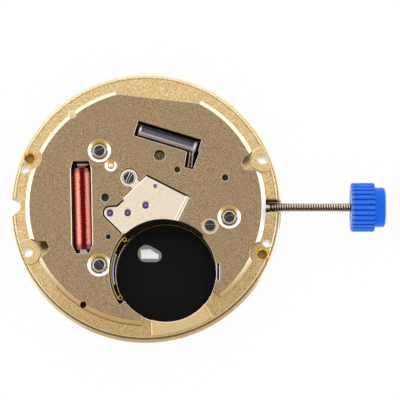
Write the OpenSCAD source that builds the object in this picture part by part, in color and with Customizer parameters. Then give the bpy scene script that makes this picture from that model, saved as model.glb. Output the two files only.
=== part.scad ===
// Quartz watch movement, 11 1/2 lignes: sweep seconds, date ring, stem and crown.
// The origin is the movement's centre on the dial seat; +Z points to the cover, +X along the stem.

/* [Plate] */
// Radius of the flange, the widest part of the movement
flange_r = 13; // [12.95:0.05:13.2]
// Radius that enters the case, below the flange
casing_r = 12.8; // [12.7:0.02:12.86]
// Radius of the rim above the flange
rim_r = 12.62; // [12.6:0.02:12.7]
// Height of the plate from the dial seat to the rim face
plate_h = 2.45; // [2.4:0.05:2.6]
// Height of the flange's lower edge
flange_z = 0.9; // [0.7:0.1:1.1]
// Thickness of the flange
flange_t = 0.7; // [0.5:0.1:0.8]
// Height of the train floor
floor_z = 1.3; // [1.25:0.01:1.33]
// Depth of the motion work recess in the dial side
recess_h = 0.95; // [0.93:0.01:1]
// Radius of the locating notch in the rim
notch_r = 0.82; // [0.7:0.02:0.9]
// Height of the raised block beside the cell well
block_h = 2.9; // [2.7:0.05:2.95]
// Clockwise edge of the raised block, in degrees from the stem
block_start = -87; // [-88:1:-84]
// Counter-clockwise edge of the raised block
block_end = -59; // [-62:1:-58]

/* [Mounting holes] */
// Turn of the dial foot hole beside the stem, in degrees from the stem
foot_turn = 21.8; // [15:0.1:30]
// Diameter of the dial foot holes
foot_d = 0.9; // [0.8:0.05:1]
// Radius of the pad round a dial foot hole
pad_r = 1.22; // [1.1:0.02:1.25]
// Height of the pad's face
pad_h = 2.7; // [2.6:0.05:2.9]
// Turn of the threaded bush below the stem
bush_turn = -22.6; // [-30:0.1:-20]
// Outer diameter of the bush
bush_d = 1.3; // [1.24:0.02:1.36]
// Bore of the bush
bush_bore = 0.86; // [0.8:0.02:0.9]
// Lower end of the bush
bush_z = 1; // [0.6:0.1:1.4]
// Upper end of the bush
bush_top = 2.5; // [2.46:0.02:2.6]
// Turn of the through hole beside the bush
spare_turn = -17.2; // [-17.6:0.1:-16.8]
// How far that hole lies outside the bush's circle
spare_out = 0.06; // [0:0.01:0.08]
// Diameter of that hole
spare_d = 0.76; // [0.7:0.02:0.78]

/* [Cover] */
// Thickness of the cover plate
cover_t = 0.5; // [0.45:0.01:0.55]
// Radius of the cover at its foot
cover_r = 11.5; // [11.45:0.05:11.6]
// Width and height of the cover's bevel
cover_bevel = 0.4; // [0.3:0.05:0.42]
// Left end of the straight top edge
chord_a = [-2.87, 10.82]; // [-12:0.05:12]
// Right end of the straight top edge
chord_b = [5.13, 9.88]; // [-12:0.05:12]
// Radius of the clearance round a bush
bush_clear_r = 1.18; // [1.1:0.02:1.2]
// Radius of the clearance round a pad
pad_clear_r = 1.3; // [1.28:0.02:1.4]
// Outer diameter of a screw well in the cover
well_d = 2.2; // [2:0.05:2.4]
// Diameter at the foot of a screw well
well_foot_d = 1.3; // [1.2:0.05:1.5]
// Depth of a screw well
well_depth = 0.3; // [0.2:0.01:0.32]

/* [Train bridge] */
// Thickness of the bridge
bridge_t = 0.42; // [0.38:0.01:0.44]
// Gap between the bridge and the cover's edge
bridge_gap = 0.07; // [0.05:0.01:0.1]
// Radius of the bridge's screw ear
ear_r = 0.85; // [0.8:0.01:0.9]
// Diameter of a bridge jewel
jewel_d = 0.66; // [0.6:0.02:0.7]
// Thickness of a jewel
jewel_t = 0.25; // [0.2:0.01:0.28]
// Diameter of the third wheel's jewel
small_jewel_d = 0.4; // [0.34:0.02:0.5]
// Diameter of the oil sink round a jewel
sink_d = 0.86; // [0.8:0.02:0.9]
// Depth of the oil sink
sink_depth = 0.08; // [0.05:0.01:0.1]

/* [Cell well] */
// Centre of the cell well
well_at = [1.95, -6.38]; // [-12:0.01:12]
// Radius of the well, for a 9.5 mm cell
well_r = 4.8; // [4.78:0.01:4.82]
// Height of the well's floor in the plate
well_z = 0.68; // [0.66:0.01:0.7]
// Thickness of the insulating floor
insulator_t = 0.12; // [0.1:0.01:0.14]
// Width of the window in the insulator
pad_window_w = 1.66; // [1.5:0.02:1.8]
// Centre of the window's wide end
pad_window_at = [0.05, -4.38]; // [-12:0.01:12]
// Radius of the plus contact's arc
plus_r = 5.28; // [5.26:0.01:5.3]
// Thickness of the plus contact strip
strip_t = 0.12; // [0.1:0.01:0.14]
// Height of the contact strips
strip_h = 1.7; // [1.5:0.05:1.75]

/* [Coil and stator] */
// Centre of the coil
coil_at = [-6.1, -0.18]; // [-12:0.01:12]
// Tilt of the coil
coil_tilt = 1.5; // [1:0.1:2]
// Length of the coil window
coil_window_l = 8.93; // [8.8:0.01:9.1]
// Width of the coil window
coil_window_w = 1.93; // [1.85:0.01:2]
// Length of the winding
winding_l = 7.7; // [7.4:0.05:7.8]
// Diameter of the winding
winding_d = 1.37; // [1.3:0.01:1.42]
// Height of the coil's axis
coil_z = 1.7; // [1.69:0.01:1.72]
// Width of the coil core
core_w = 0.68; // [0.6:0.02:0.7]
// Thickness of the coil core
core_t = 0.3; // [0.26:0.01:0.3]
// Thickness of the stator
stator_t = 0.3; // [0.26:0.01:0.32]
// Width of a stator arm
stator_arm_w = 1; // [0.9:0.05:1.1]
// Radius of the stator's bore
stator_bore_r = 0.8; // [0.75:0.01:0.82]
// Outer radius of the stator round its bore
stator_ring_r = 1.2; // [1.15:0.01:1.22]

/* [Circuit] */
// Thickness of the circuit board
board_t = 0.14; // [0.12:0.01:0.18]
// Height of the board's lower face
board_z = 2.2; // [2.15:0.01:2.22]
// Diameter of the crystal's can
crystal_d = 1.2; // [1.1:0.02:1.24]
// Length of the crystal's can
crystal_l = 5.5; // [5.2:0.05:5.6]
// Centre of the crystal's pocket
crystal_at = [2.1, 6.55]; // [-12:0.05:12]
// Angle of the crystal's pocket
crystal_turn = -17; // [-18:0.5:-16]
// Length of the crystal's pocket
pocket_l = 6.35; // [6.3:0.05:6.5]
// Width of the crystal's pocket
pocket_w = 1.54; // [1.5:0.02:1.6]
// Diameter of a crystal lead
lead_d = 0.2; // [0.16:0.02:0.22]

/* [Going train] */
// Arbor of the rotor
rotor_at = [-3.4, -0.74]; // [-12:0.01:12]
// Arbor of the intermediate wheel
inter_at = [-1.7, -0.73]; // [-12:0.01:12]
// Arbor of the third wheel
third_at = [0.92, 1.85]; // [-12:0.01:12]
// Leaves of the rotor pinion
rotor_leaves = 8; // [7:1:10]
// Teeth of the intermediate wheel
inter_teeth = 60; // [50:1:64]
// Leaves of the intermediate pinion
inter_leaves = 10; // [8:1:10]
// Teeth of the second wheel
second_teeth = 40; // [36:1:44]
// Diameter of the rotor's magnet
magnet_d = 1.2; // [1.1:0.02:1.26]
// Thickness of the rotor's magnet
magnet_t = 0.36; // [0.3:0.01:0.38]
// Thickness of a train wheel
wheel_t = 0.1; // [0.08:0.01:0.12]
// Diameter of a train pivot
pivot_d = 0.14; // [0.12:0.01:0.15]
// Diameter of a train arbor
arbor_d = 0.24; // [0.22:0.01:0.24]

/* [Motion work and hand fits] */
// Diameter of the seconds hand's post
seconds_d = 0.2; // [0.18:0.01:0.21]
// Diameter of the minute hand's post
minute_d = 0.7; // [0.68:0.01:0.72]
// Diameter of the hour hand's pipe
hour_d = 1.2; // [1.16:0.02:1.24]
// Bore of the cannon pinion
cannon_bore = 0.42; // [0.4:0.01:0.43]
// How far the hour pipe stands out of the dial seat
hour_out = 1; // [0.8:0.05:1.2]
// How far the minute post stands out
minute_out = 1.5; // [1.3:0.05:1.7]
// How far the seconds post stands out
seconds_out = 1.95; // [1.8:0.05:2.2]
// Arbor of the minute wheel
minute_at = [1.69, 0.62]; // [-12:0.01:12]
// Direction from the minute wheel to the setting wheel
setting_turn = -10; // [-12:1:-8]
// Thickness of a motion work wheel
motion_t = 0.12; // [0.1:0.01:0.13]

/* [Calendar] */
// Outer radius of the date ring
date_r = 11.35; // [11.3:0.01:11.4]
// Radius at the root of the date ring's teeth
date_root_r = 9.45; // [9.4:0.01:9.5]
// Radius at the tip of the date ring's teeth
date_tip_r = 9.1; // [9.08:0.01:9.15]
// Thickness of the date ring
date_t = 0.2; // [0.16:0.01:0.22]
// Height of the date ring's dial face
date_z = 0.12; // [0.12:0.01:0.13]
// Depth of the date ring's groove
groove_h = 0.4; // [0.38:0.01:0.42]
// Teeth of the date ring, one for each day
date_teeth = 31; // [28:1:31]
// Radius of the calendar's keeper plate
keeper_r = 9.3; // [9.25:0.01:9.35]
// Thickness of the keeper plate
keeper_t = 0.08; // [0.06:0.01:0.08]
// Distance from the centre to the date idler
idler_gap = 2.56; // [2.5:0.01:2.6]
// Direction from the centre to the date idler
idler_turn = 150; // [148:1:152]
// Direction from the idler to the date wheel
date_wheel_turn = 165; // [163:1:167]
// Length of the date finger
finger_l = 2.95; // [2.85:0.01:2.98]
// Pivot of the date jumper
jumper_at = [-6.3, -5.1]; // [-12:0.05:12]
// Pivot of the quick date corrector
corrector_at = [7.9, -2.2]; // [-12:0.05:12]
// Radius of the corrector star
corrector_r = 0.82; // [0.78:0.01:0.84]

/* [Stem and crown] */
// Height of the stem's axis
stem_z = 1.5; // [1.48:0.01:1.52]
// Diameter of the stem in the plate
stem_d = 1.2; // [1.18:0.01:1.21]
// Diameter of the stem's inner pivot
pilot_d = 0.5; // [0.46:0.02:0.52]
// Side of the stem's square
square_w = 0.6; // [0.56:0.01:0.62]
// Diameter of the stem's groove
stem_groove_d = 0.7; // [0.66:0.01:0.72]
// Diameter of the stem's thread
thread_d = 0.9; // [0.86:0.01:0.92]
// Pitch of the thread
thread_pitch = 0.225; // [0.2:0.025:0.25]
// Depth of the thread
thread_depth = 0.12; // [0.1:0.01:0.14]
// Inner end of the crown
crown_x = 19.66; // [19:0.02:21]
// Length of the fluted part of the crown
crown_l = 2.24; // [2.1:0.05:2.5]
// Diameter of the fluted part
crown_d = 4.7; // [4.4:0.1:5]
// Depth of a flute
flute_depth = 0.16; // [0.1:0.02:0.2]
// Number of flutes
flutes = 34; // [24:1:36]
// Length of the smooth button
button_l = 1.05; // [0.9:0.05:1.2]
// Diameter of the smooth button
button_d = 3.8; // [3.5:0.1:4]
// How far the stem pulls out to set the hands
pull = 0.9; // [0.8:0.05:0.9]

/* [Keyless work] */
// Diameter of the clutch pinion
clutch_d = 1.5; // [1.44:0.02:1.52]
// Length of the clutch pinion
clutch_l = 1.9; // [1.85:0.05:1.95]
// Inner end of the clutch pinion
clutch_x = 5.3; // [5.28:0.01:5.32]
// Diameter of the clutch's groove
clutch_groove_d = 1; // [0.96:0.02:1.02]
// Width of the clutch's groove
clutch_groove_w = 0.6; // [0.56:0.01:0.62]
// Where the setting lever's pin meets the stem
lever_pin_x = 8.9; // [8.85:0.01:8.95]
// Diameter of that pin
lever_pin_d = 0.4; // [0.36:0.01:0.41]
// Arm of the setting lever, pivot to pin
lever_arm = 2.2; // [2.1:0.05:2.25]
// Thickness of the levers
lever_t = 0.2; // [0.16:0.01:0.2]
// Height of the levers' dial face
lever_z = 0.5; // [0.48:0.01:0.52]
// Pivot of the yoke
yoke_at = [6.6, -2.3]; // [-12:0.05:12]

/* [Screws and pins] */
// Cover screw over the upper stator pad
screw_a = [-4.44, 5.28]; // [-12:0.01:12]
// Cover screw over the lower stator pad
screw_b = [-4.39, -5.73]; // [-12:0.01:12]
// Cover screw below the stem
screw_c = [7.99, -1.13]; // [-12:0.01:12]
// Screw of the train bridge's ear
screw_d = [-1.59, 2.64]; // [-12:0.01:12]
// Cover screw right of the bridge
screw_e = [6.15, -1.95]; // [-12:0.01:12]
// Diameter of a screw's head
head_d = 1.1; // [1:0.02:1.16]
// Height of a screw's head
head_h = 0.3; // [0.24:0.01:0.32]
// Diameter of a screw's shank
shank_d = 0.5; // [0.46:0.01:0.52]
// Width of a screw's slot
slot_w = 0.18; // [0.14:0.01:0.2]
// Depth of a screw's slot
slot_h = 0.14; // [0.1:0.01:0.16]
// Height of the screws' lower ends
shank_z = 1.25; // [1.2:0.01:1.28]
// Locating pin near the bridge
pin_f = [-3.33, 3.84]; // [-12:0.01:12]
// Locating pin near the top
pin_m = [-7.05, 8.78]; // [-12:0.01:12]
// Diameter of a locating pin
pin_d = 0.5; // [0.44:0.01:0.54]

/* [Fits] */
// Radial gap of a running fit
run_gap = 0.02; // [0.015:0.005:0.03]
// Gap round a piece laid in its pocket
seat_gap = 0.05; // [0.04:0.01:0.06]
// Gap above and below a moving piece
end_gap = 0.02; // [0.015:0.005:0.03]

/* [Hidden] */
cover_z = plate_h;
mid_r = (rim_r + cover_r) / 2;
foot_at = polar(mid_r, foot_turn);
bush_at = polar(mid_r, bush_turn);
spare_at = polar(mid_r + spare_out, spare_turn);
cover_top = cover_z + cover_t;
bridge_z = plate_h;
bridge_top = bridge_z + bridge_t;
jewel_z = bridge_top - sink_depth - jewel_t;
plate_jewel_z = floor_z - jewel_t;
through = 6;
well_bulge = plus_r + strip_t;
insulator_top = well_z + insulator_t;

function polar(r, a) = [r * cos(a), r * sin(a)];
function arc(c, r0, r1, a0, a1, n) =
    [for (i = [0:n]) c + polar(r0 + (r1 - r0) * i / n, a0 + (a1 - a0) * i / n)];
function turn_of(v) = atan2(v[1], v[0]);

// Teeth with flat tips, four points a tooth; pitch radius r, first tooth at angle a
function leaf_points(z, r, a) = let (m = 2 * r / z, t = 360 / z)
    [for (i = [0:z - 1]) each [
        polar(r - 1.1 * m, a + (i - 0.34) * t), polar(r + 0.7 * m, a + (i - 0.1) * t),
        polar(r + 0.7 * m, a + (i + 0.1) * t), polar(r - 1.1 * m, a + (i + 0.34) * t)]];
// Fine teeth, two points a tooth
function tooth_points(z, r, a) = let (m = 2 * r / z, t = 360 / z)
    [for (i = [0:z - 1]) each [polar(r + 0.7 * m, a + i * t), polar(r - 1.1 * m, a + (i + 0.5) * t)]];
// Angle of a follower's first tooth, from its driver's
function mesh_turn(turn, z_from, dir, z_to) =
    dir + 180 + 360 / z_to * (0.5 - (turn - dir) * z_from / 360);

// Pitch radii follow from the centre distances and the tooth counts
inter_gap = norm(inter_at - rotor_at);
rotor_pitch = inter_gap * rotor_leaves / (rotor_leaves + inter_teeth);
inter_pitch = inter_gap - rotor_pitch;
second_gap = norm(inter_at);
second_pitch = second_gap * second_teeth / (second_teeth + inter_leaves);
inter_pinion_pitch = second_gap - second_pitch;
third_gap = norm(third_at);
third_teeth = 96;
second_leaves = 8;
third_pitch = third_gap * third_teeth / (third_teeth + second_leaves);
second_pinion_pitch = third_gap - third_pitch;
centre_teeth = 50;
third_leaves = 10;
centre_pitch = third_gap * centre_teeth / (centre_teeth + third_leaves);
third_pinion_pitch = third_gap - centre_pitch;

// Levels of the going train, from the floor up
centre_z = floor_z + 0.08;
inter_z = floor_z + 0.28;
third_z = floor_z + 0.44;
second_z = floor_z + 0.7;
stator_z = coil_z + core_t / 2;
magnet_z = stator_z - 0.02;
centre_turn = turn_of(third_at);

// Motion work: cannon 12 to minute wheel 36, its pinion 10 to hour wheel 40
cannon_leaves = 12;
minute_teeth = 36;
minute_leaves = 10;
hour_teeth = 40;
minute_gap = norm(minute_at);
cannon_pitch = minute_gap * cannon_leaves / (cannon_leaves + minute_teeth);
minute_pitch = minute_gap - cannon_pitch;
hour_pitch = minute_gap * hour_teeth / (hour_teeth + minute_leaves);
minute_pinion_pitch = minute_gap - hour_pitch;
minute_dir = turn_of(minute_at);
setting_teeth = 26;
setting_r = minute_pitch * setting_teeth / minute_teeth;
setting_at = minute_at + polar(minute_pitch + setting_r, setting_turn);
date_gear_z = date_z + date_t - 0.02;
hour_z = date_gear_z + motion_t + 0.08;
minute_pinion_z = hour_z - 0.03;
minute_z = hour_z + motion_t + 0.12;
tube_d = cannon_bore - 2 * run_gap;
hour_hub_r = hour_d / 2 + 0.2;

// Calendar: hour gear 24 to idler 40 to date wheel 48, one turn of the date wheel a day
date_gear_teeth = 24;
idler_teeth = 40;
date_wheel_teeth = 48;
date_gear_pitch = idler_gap * date_gear_teeth / (date_gear_teeth + idler_teeth);
idler_pitch = idler_gap - date_gear_pitch;
date_wheel_pitch = date_gear_pitch * date_wheel_teeth / date_gear_teeth;
idler_at = polar(idler_gap, idler_turn);
date_wheel_at = idler_at + polar(idler_pitch + date_wheel_pitch, date_wheel_turn);
keeper_z = date_z - 0.02 - keeper_t;
keeper_screw_r = keeper_r - 0.9;
keeper_screws_at = [for (a = [92, 200, 37]) polar(keeper_screw_r, a)];
jumper_beak = polar(date_tip_r - 0.12, 236);

lever_at = [lever_pin_x, lever_arm];
stem_groove_w = lever_pin_d + 0.1;
stem_end = crown_x + 1.1;
square_x = clutch_x - 0.28;
hub_x = 11.15;
thread_x = 11.95;
case_x = flange_r + 0.1;

// Outline of the train bridge, anticlockwise from its upper right corner
bridge_body = concat(
    [[4.23, 0.78], [0.11, 2.9], [-2.05, 0.81], [-2.26, 0.96], [-2.13, 0.49], [-2.73, -0.06]],
    arc(rotor_at, 0.64, 0.64, 104, 216, 10),
    [[-2.26, -2.78]],
    arc(well_at, well_r + 0.5, well_r + 0.16, 136, 76.5, 16));
module bridge_outline() {
    union() {
        polygon(bridge_body);
        translate(screw_d) circle(r = ear_r, $fn = 48);
        translate(screw_d) rotate(turn_of([1, -1.04])) translate([0, -0.5]) square([1.5, 1]);
    }
}

module disc(r, z0, z1) { translate([0, 0, z0]) cylinder(r = r, h = z1 - z0, $fn = 48); }
// A post that grows by that much towards its top
module taper(r, z0, z1, growth) {
    translate([0, 0, z0]) cylinder(r1 = r, r2 = r + growth, h = z1 - z0, $fn = 48);
}
module slab(z0, z1) { translate([0, 0, z0]) linear_extrude(z1 - z0) children(); }
module on_axis(x0, x1, r) {
    translate([x0, 0, stem_z]) rotate([0, 90, 0]) cylinder(r = r, h = x1 - x0, $fn = 48);
}
module in_coil() { translate(coil_at) rotate(coil_tilt) children(); }
module in_pocket() { translate(crystal_at) rotate(crystal_turn) children(); }
module round_rod(a, b, r) {
    v = b - a;
    translate(a) rotate([0, acos(v[2] / norm(v)), atan2(v[1], v[0])])
        cylinder(r = r, h = norm(v), $fn = 16);
}

module coil_window() {
    a = coil_window_w / 2;
    b = coil_window_l / 2;
    in_coil() polygon([[a - 0.2, b], [-a + 0.2, b], [-a, b - 0.75], [-a, -b + 0.85], [-a + 0.36, -b],
        [a - 0.36, -b], [a, -b + 0.85], [a, b - 0.75]]);
}

// Pocket of the crystal, with the leg that its leads run down
module crystal_window() {
    in_pocket() translate([-pocket_l / 2, -pocket_w / 2]) square([pocket_l, pocket_w]);
    polygon([[3.95, 5.35], [3.95, 5.08], [3.67, 3.67], [4.5, 3.44], [5.15, 5.2]]);
}

// The well widens at the left, where the plus contact stands
module well_outline() {
    translate(well_at) circle(r = well_r, $fn = 64);
    polygon(concat(arc(well_at, well_bulge, well_bulge, 136, 216, 24), [well_at]));
}

// Slanted recess in the cover beside a dial foot pad
module pad_recess() {
    polygon([[10.4, 5.4], [9.32, 4.45], [9.14, 4.01], [9.43, 3.49], [10.03, 3.42], [11.2, 3.6]]);
}

// One copy at p and one half a turn round the centre
module both(p) {
    for (a = [0, 180]) rotate(a) translate(p) children();
}

module main_plate() {
    color("#d7b473") difference() {
        union() {
            rotate_extrude($fn = 96) polygon([[0, 0], [casing_r - 0.1, 0], [casing_r, 0.1],
                [casing_r, flange_z], [flange_r, flange_z], [flange_r, flange_z + flange_t - 0.1],
                [flange_r - 0.1, flange_z + flange_t], [rim_r, flange_z + flange_t],
                [rim_r, plate_h - 0.05], [rim_r - 0.05, plate_h], [0, plate_h]]);
            intersection() {
                disc(rim_r - 0.12, plate_h - 0.2, block_h);
                slab(plate_h - 0.2, block_h + 1) polygon([polar(8, block_start), polar(15, block_start),
                    polar(15, block_end), polar(8, block_end)]);
            }
            intersection() {
                both(foot_at) disc(pad_r, plate_h - 0.2, pad_h);
                disc(rim_r, 0, through);
            }
        }
        plate_pockets();
        dial_recesses();
        plate_holes();
    }
}

// Everything sunk into the plate from the cover side
module plate_pockets() {
    slab(well_z, through) translate(well_at) circle(r = well_r, $fn = 64);
    slab(floor_z - 0.1, through) difference() {
        well_outline();
        translate(well_at) circle(r = well_r - 0.2, $fn = 64);
    }
    disc(centre_pitch + 0.09, floor_z, through);
    translate(inter_at) disc(inter_pitch + 0.1, floor_z, through);
    translate(third_at) disc(third_pitch + 0.1, floor_z, through);
    translate(rotor_at) disc(stator_ring_r + seat_gap, floor_z, through);
    slab(coil_z - winding_d / 2 - 0.1, through) coil_window();
    slab(coil_z - core_t / 2, through) core_outline(seat_gap);
    slab(stator_z, through) stator_outline(seat_gap);
    slab(board_z, through) offset(delta = seat_gap) board_outline();
    slab(board_z - 0.5, through) translate(chip_at) square([2.1, 1.9], center = true);
    slab(coil_z - 0.35, through) crystal_window();
    clutch_chamber();
    on_axis(hub_x - 4, case_x, stem_d / 2 + run_gap);
    translate([hub_x - 4, -stem_d / 2 - run_gap, stem_z]) cube([6, stem_d + 2 * run_gap, 3]);
    on_axis(4, clutch_x, pilot_d / 2 + run_gap);
}

module clutch_chamber() {
    translate([clutch_x - 0.3, -0.85, stem_z - 0.8]) cube([clutch_l + 0.4, 1.7, 3]);
}

// Everything sunk into the plate from the dial side
module dial_recesses() {
    difference() {
        disc(date_r + 0.12, -1, groove_h);
        disc(date_tip_r - 0.15, -2, groove_h + 1);
    }
    disc(keeper_r + 0.05, -1, keeper_z + keeper_t);
    disc(hour_pitch + 0.2, -1, recess_h);
    translate(minute_at) disc(minute_pitch + 0.12, -1, recess_h);
    translate(setting_at) disc(setting_r + 0.14, -1, recess_h);
    translate(idler_at) disc(idler_pitch + 0.15, -1, groove_h + 0.1);
    translate(date_wheel_at) disc(finger_l + 0.1, -1, groove_h + 0.1);
    translate(corrector_at) disc(corrector_r + 0.1, -1, groove_h + 0.05);
    slab(-1, groove_h) jumper_room();
    slab(-1, lever_z + lever_t + end_gap) lever_room();
    slab(lever_z, stem_z) translate([lever_pin_x - 0.3, -0.3]) square([pull + 0.6, 0.9]);
    slab(lever_z, stem_z) translate([clutch_x + 0.5, -0.95]) square([0.95, 0.5]);
}

module lever_room() {
    polygon([[5.95, -2.95], [5.35, -2], [5.35, -0.4], [7.6, -0.4], [8.2, 3.1], [9.6, 3.1], [10.5, 1.2],
        [10.3, -0.6], [7.3, -1.3], [7.4, -2.95]]);
}

module jumper_room() {
    polygon([jumper_at + [-0.9, 0.7], jumper_at + [1, 0.7], jumper_beak + [1.2, -0.2],
        jumper_beak + [0, -0.3], jumper_at + [-1, -1]]);
}

module plate_holes() {
    both(foot_at) disc(foot_d / 2, -1, through);
    both(spare_at) disc(spare_d / 2, -1, through);
    both(bush_at) disc(bush_d / 2, bush_z, through);
    translate([-flange_r + 0.18, 0]) disc(notch_r, -1, through);
    disc(cannon_bore / 2 + 0.1, -1, through);
    for (p = [rotor_at, inter_at, third_at]) translate(p)
        disc(p == third_at ? small_jewel_d / 2 : jewel_d / 2, plate_jewel_z, floor_z + 1);
    for (p = [screw_a, screw_b, screw_c, screw_d, screw_e])
        translate(p) disc(shank_d / 2, shank_z, through);
    for (p = [pin_f, pin_m]) translate(p) disc(pin_d / 2, plate_h - 0.8, through);
    for (p = keeper_screws_at) translate(p) disc(0.2, -1, 0.8);
    for (p = [minute_at, setting_at]) translate(p) disc(0.15 + run_gap, recess_h - 0.1, recess_h + 0.15);
    for (p = [idler_at, date_wheel_at, corrector_at, jumper_at])
        translate(p) disc(0.2 + run_gap, groove_h, 0.8);
    for (p = [lever_at, yoke_at]) translate(p) disc(0.25 + run_gap, lever_z, 1.1);
}

module cover_plate() {
    bevel_foot = cover_top - cover_bevel;
    color("#a58c6e") difference() {
        intersection() {
            rotate_extrude($fn = 96) polygon([[0, cover_z], [cover_r, cover_z], [cover_r, bevel_foot],
                [cover_r - cover_bevel, cover_top], [0, cover_top]]);
            slab(cover_z - 1, cover_top + 1) cover_area();
        }
        slab(cover_z - 1, cover_top + 1) well_outline();
        slab(cover_z - 1, cover_top + 1) offset(delta = bridge_gap) bridge_outline();
        slab(cover_z - 1, cover_top + 1) coil_window();
        slab(cover_z - 1, cover_top + 1) crystal_window();
        slab(cover_z - 1, cover_top + 1) pad_recess();
        slab(cover_z - 1, cover_top + 1) rotate(180) pad_recess();
        both(foot_at) disc(pad_clear_r, cover_z - 1, cover_top + 1);
        both(bush_at) disc(bush_clear_r, cover_z - 1, cover_top + 1);
        for (h = small_holes) translate([h[0], h[1]]) disc(h[2] / 2, cover_z - 1, cover_top + 1);
        for (p = [screw_a, screw_b, screw_c]) translate(p) {
            translate([0, 0, cover_top - well_depth]) cylinder(d1 = well_foot_d, d2 = well_d + 0.03,
                h = well_depth + 0.01, $fn = 48);
            disc(shank_d / 2 + 0.03, cover_z - 1, cover_top + 1);
        }
        translate(screw_e) disc(0.8, cover_top - well_depth, cover_top + 1);
        translate(screw_e) disc(shank_d / 2 + 0.03, cover_z - 1, cover_top + 1);
        translate(pin_f) disc(0.6, cover_top - 0.25, cover_top + 1);
        for (p = [pin_f, pin_m]) translate(p) disc(pin_d / 2 + 0.01, cover_z - 1, cover_top + 1);
        slab(cover_z - 1, cover_top + 1) translate([6.82, -7.3]) square([0.22, 1.75]);
    }
}

// Plan of the cover: a straight top edge, and open at the bottom between the cell and the rim
module cover_area() {
    polygon(concat([[7.16, -8.76]], arc([0, 0], 12, 12, turn_of([7.16, -8.76]), turn_of(chord_b), 40),
        [chord_b, chord_a],
        arc([0, 0], 12, 12, turn_of(chord_a), 268, 48), [[-0.25, -10.59], [1.5, -6], [6.53, -8.21]]));
}

// Inspection holes: x, y, diameter
small_holes = [[1.31, 4.82, 1.05], [3.02, 3.43, 0.6], [7.59, 2.65, 0.65], [-3.86, 0.73, 0.8],
    [-3.54, -3.06, 0.5], [-5.87, -9.53, 0.6]];

module train_bridge() {
    color("#ebdabe") difference() {
        slab(bridge_z, bridge_top) bridge_outline();
        for (p = [rotor_at, inter_at, [0, 0]]) translate(p) {
            disc(jewel_d / 2, bridge_z - 1, bridge_top + 1);
            translate([0, 0, bridge_top - sink_depth]) cylinder(d1 = jewel_d, d2 = sink_d,
                h = sink_depth + 0.01, $fn = 48);
        }
        translate(third_at) disc(small_jewel_d / 2, bridge_z - 1, bridge_top + 1);
        translate(screw_d) disc(shank_d / 2 + 0.03, bridge_z - 1, bridge_top + 1);
        translate(screw_d) disc(head_d / 2 + 0.05, bridge_top - 0.12, bridge_top + 1);
        translate(well_at) disc(well_r + 0.2, bridge_z - 1, bridge_top + 1);
    }
}

module jewel(r, z) {
    difference() {
        disc(r, z, z + jewel_t);
        disc(pivot_d / 2 + run_gap, z - 1, z + 1);
    }
}
module train_jewels() {
    color("#7b4a86") for (p = [rotor_at, inter_at, [0, 0]]) translate(p) jewel(jewel_d / 2, jewel_z);
}
module third_jewel() { color("#4b63b8") translate(third_at) jewel(small_jewel_d / 2, jewel_z); }
module plate_jewels() {
    color("#7b4a86") {
        for (p = [rotor_at, inter_at]) translate(p) jewel(jewel_d / 2, plate_jewel_z);
        translate(third_at) jewel(small_jewel_d / 2, plate_jewel_z);
    }
}

module screw(z, turn) {
    difference() {
        union() {
            disc(shank_d / 2, shank_z, z + 0.01);
            disc(head_d / 2, z, z + head_h - 0.04);
            translate([0, 0, z + head_h - 0.04]) cylinder(r1 = head_d / 2, r2 = head_d / 2 - 0.06,
                h = 0.04, $fn = 48);
        }
        rotate(turn) translate([-head_d, -slot_w / 2, z + head_h - slot_h]) cube([2 * head_d, slot_w, 1]);
    }
}
module cover_screws() {
    z = cover_top - well_depth;
    color("#3c3a40") {
        translate(screw_a) screw(z, 20);
        translate(screw_b) screw(z, -55);
        translate(screw_c) screw(z, 15);
        translate(screw_e) screw(z, 0);
    }
}
module bridge_screw() { color("#3c3a40") translate(screw_d) screw(bridge_top - 0.12, 64); }
module locating_pins() {
    color("#b9b4ac") {
        translate(pin_f) disc(pin_d / 2, plate_h - 0.8, cover_top - 0.1);
        translate(pin_m) disc(pin_d / 2, plate_h - 0.8, cover_top + 0.02);
    }
}
module case_bushes() {
    color("#e8c36a") both(bush_at) difference() {
        disc(bush_d / 2, bush_z, bush_top);
        disc(bush_bore / 2, bush_z - 1, bush_top + 1);
        translate(spare_at - bush_at) disc(spare_d / 2, bush_z - 1, bush_top + 1);
    }
}

// Core: a bar through the winding with a pad at each end, turned in to the stator
module core_outline(grow) {
    offset(delta = grow) {
        in_coil() square([core_w, coil_window_l - 0.4], center = true);
        polygon([[-6.6, 4], [-5.7, 4], [-5.2, 4.6], screw_a + [0.75, -0.5], screw_a + [0.75, 0.7],
            [-5.4, 6], [-6.6, 5.2]]);
        polygon([[-6.5, -4.3], [-6.5, -5.5], [-5.3, -6.4], screw_b + [0.7, -0.7], screw_b + [0.7, 0.5],
            [-5.1, -5], [-5.6, -4.3]]);
    }
}
module coil_core() {
    z = coil_z - core_t / 2;
    color("#6f6c70") difference() {
        slab(z, z + core_t) core_outline(0);
        for (p = [screw_a, screw_b]) translate(p) disc(shank_d / 2 + 0.03, z - 1, z + 1);
    }
}
module coil_winding() {
    hollow_w = core_w + 0.04;
    color("#b4583a") in_coil() translate([0, 0, coil_z]) difference() {
        rotate([90, 0, 0]) cylinder(d = winding_d, h = winding_l, center = true, $fn = 48);
        cube([hollow_w, 2 * winding_l, core_t + 0.04], center = true);
    }
}
module coil_terminals() {
    z = coil_z + core_t / 2;
    color("#2f6b3a") in_coil() slab(z, z + 0.12) translate([0, -winding_l / 2 - 0.28]) square([core_w,
        0.36], center = true);
}

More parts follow.
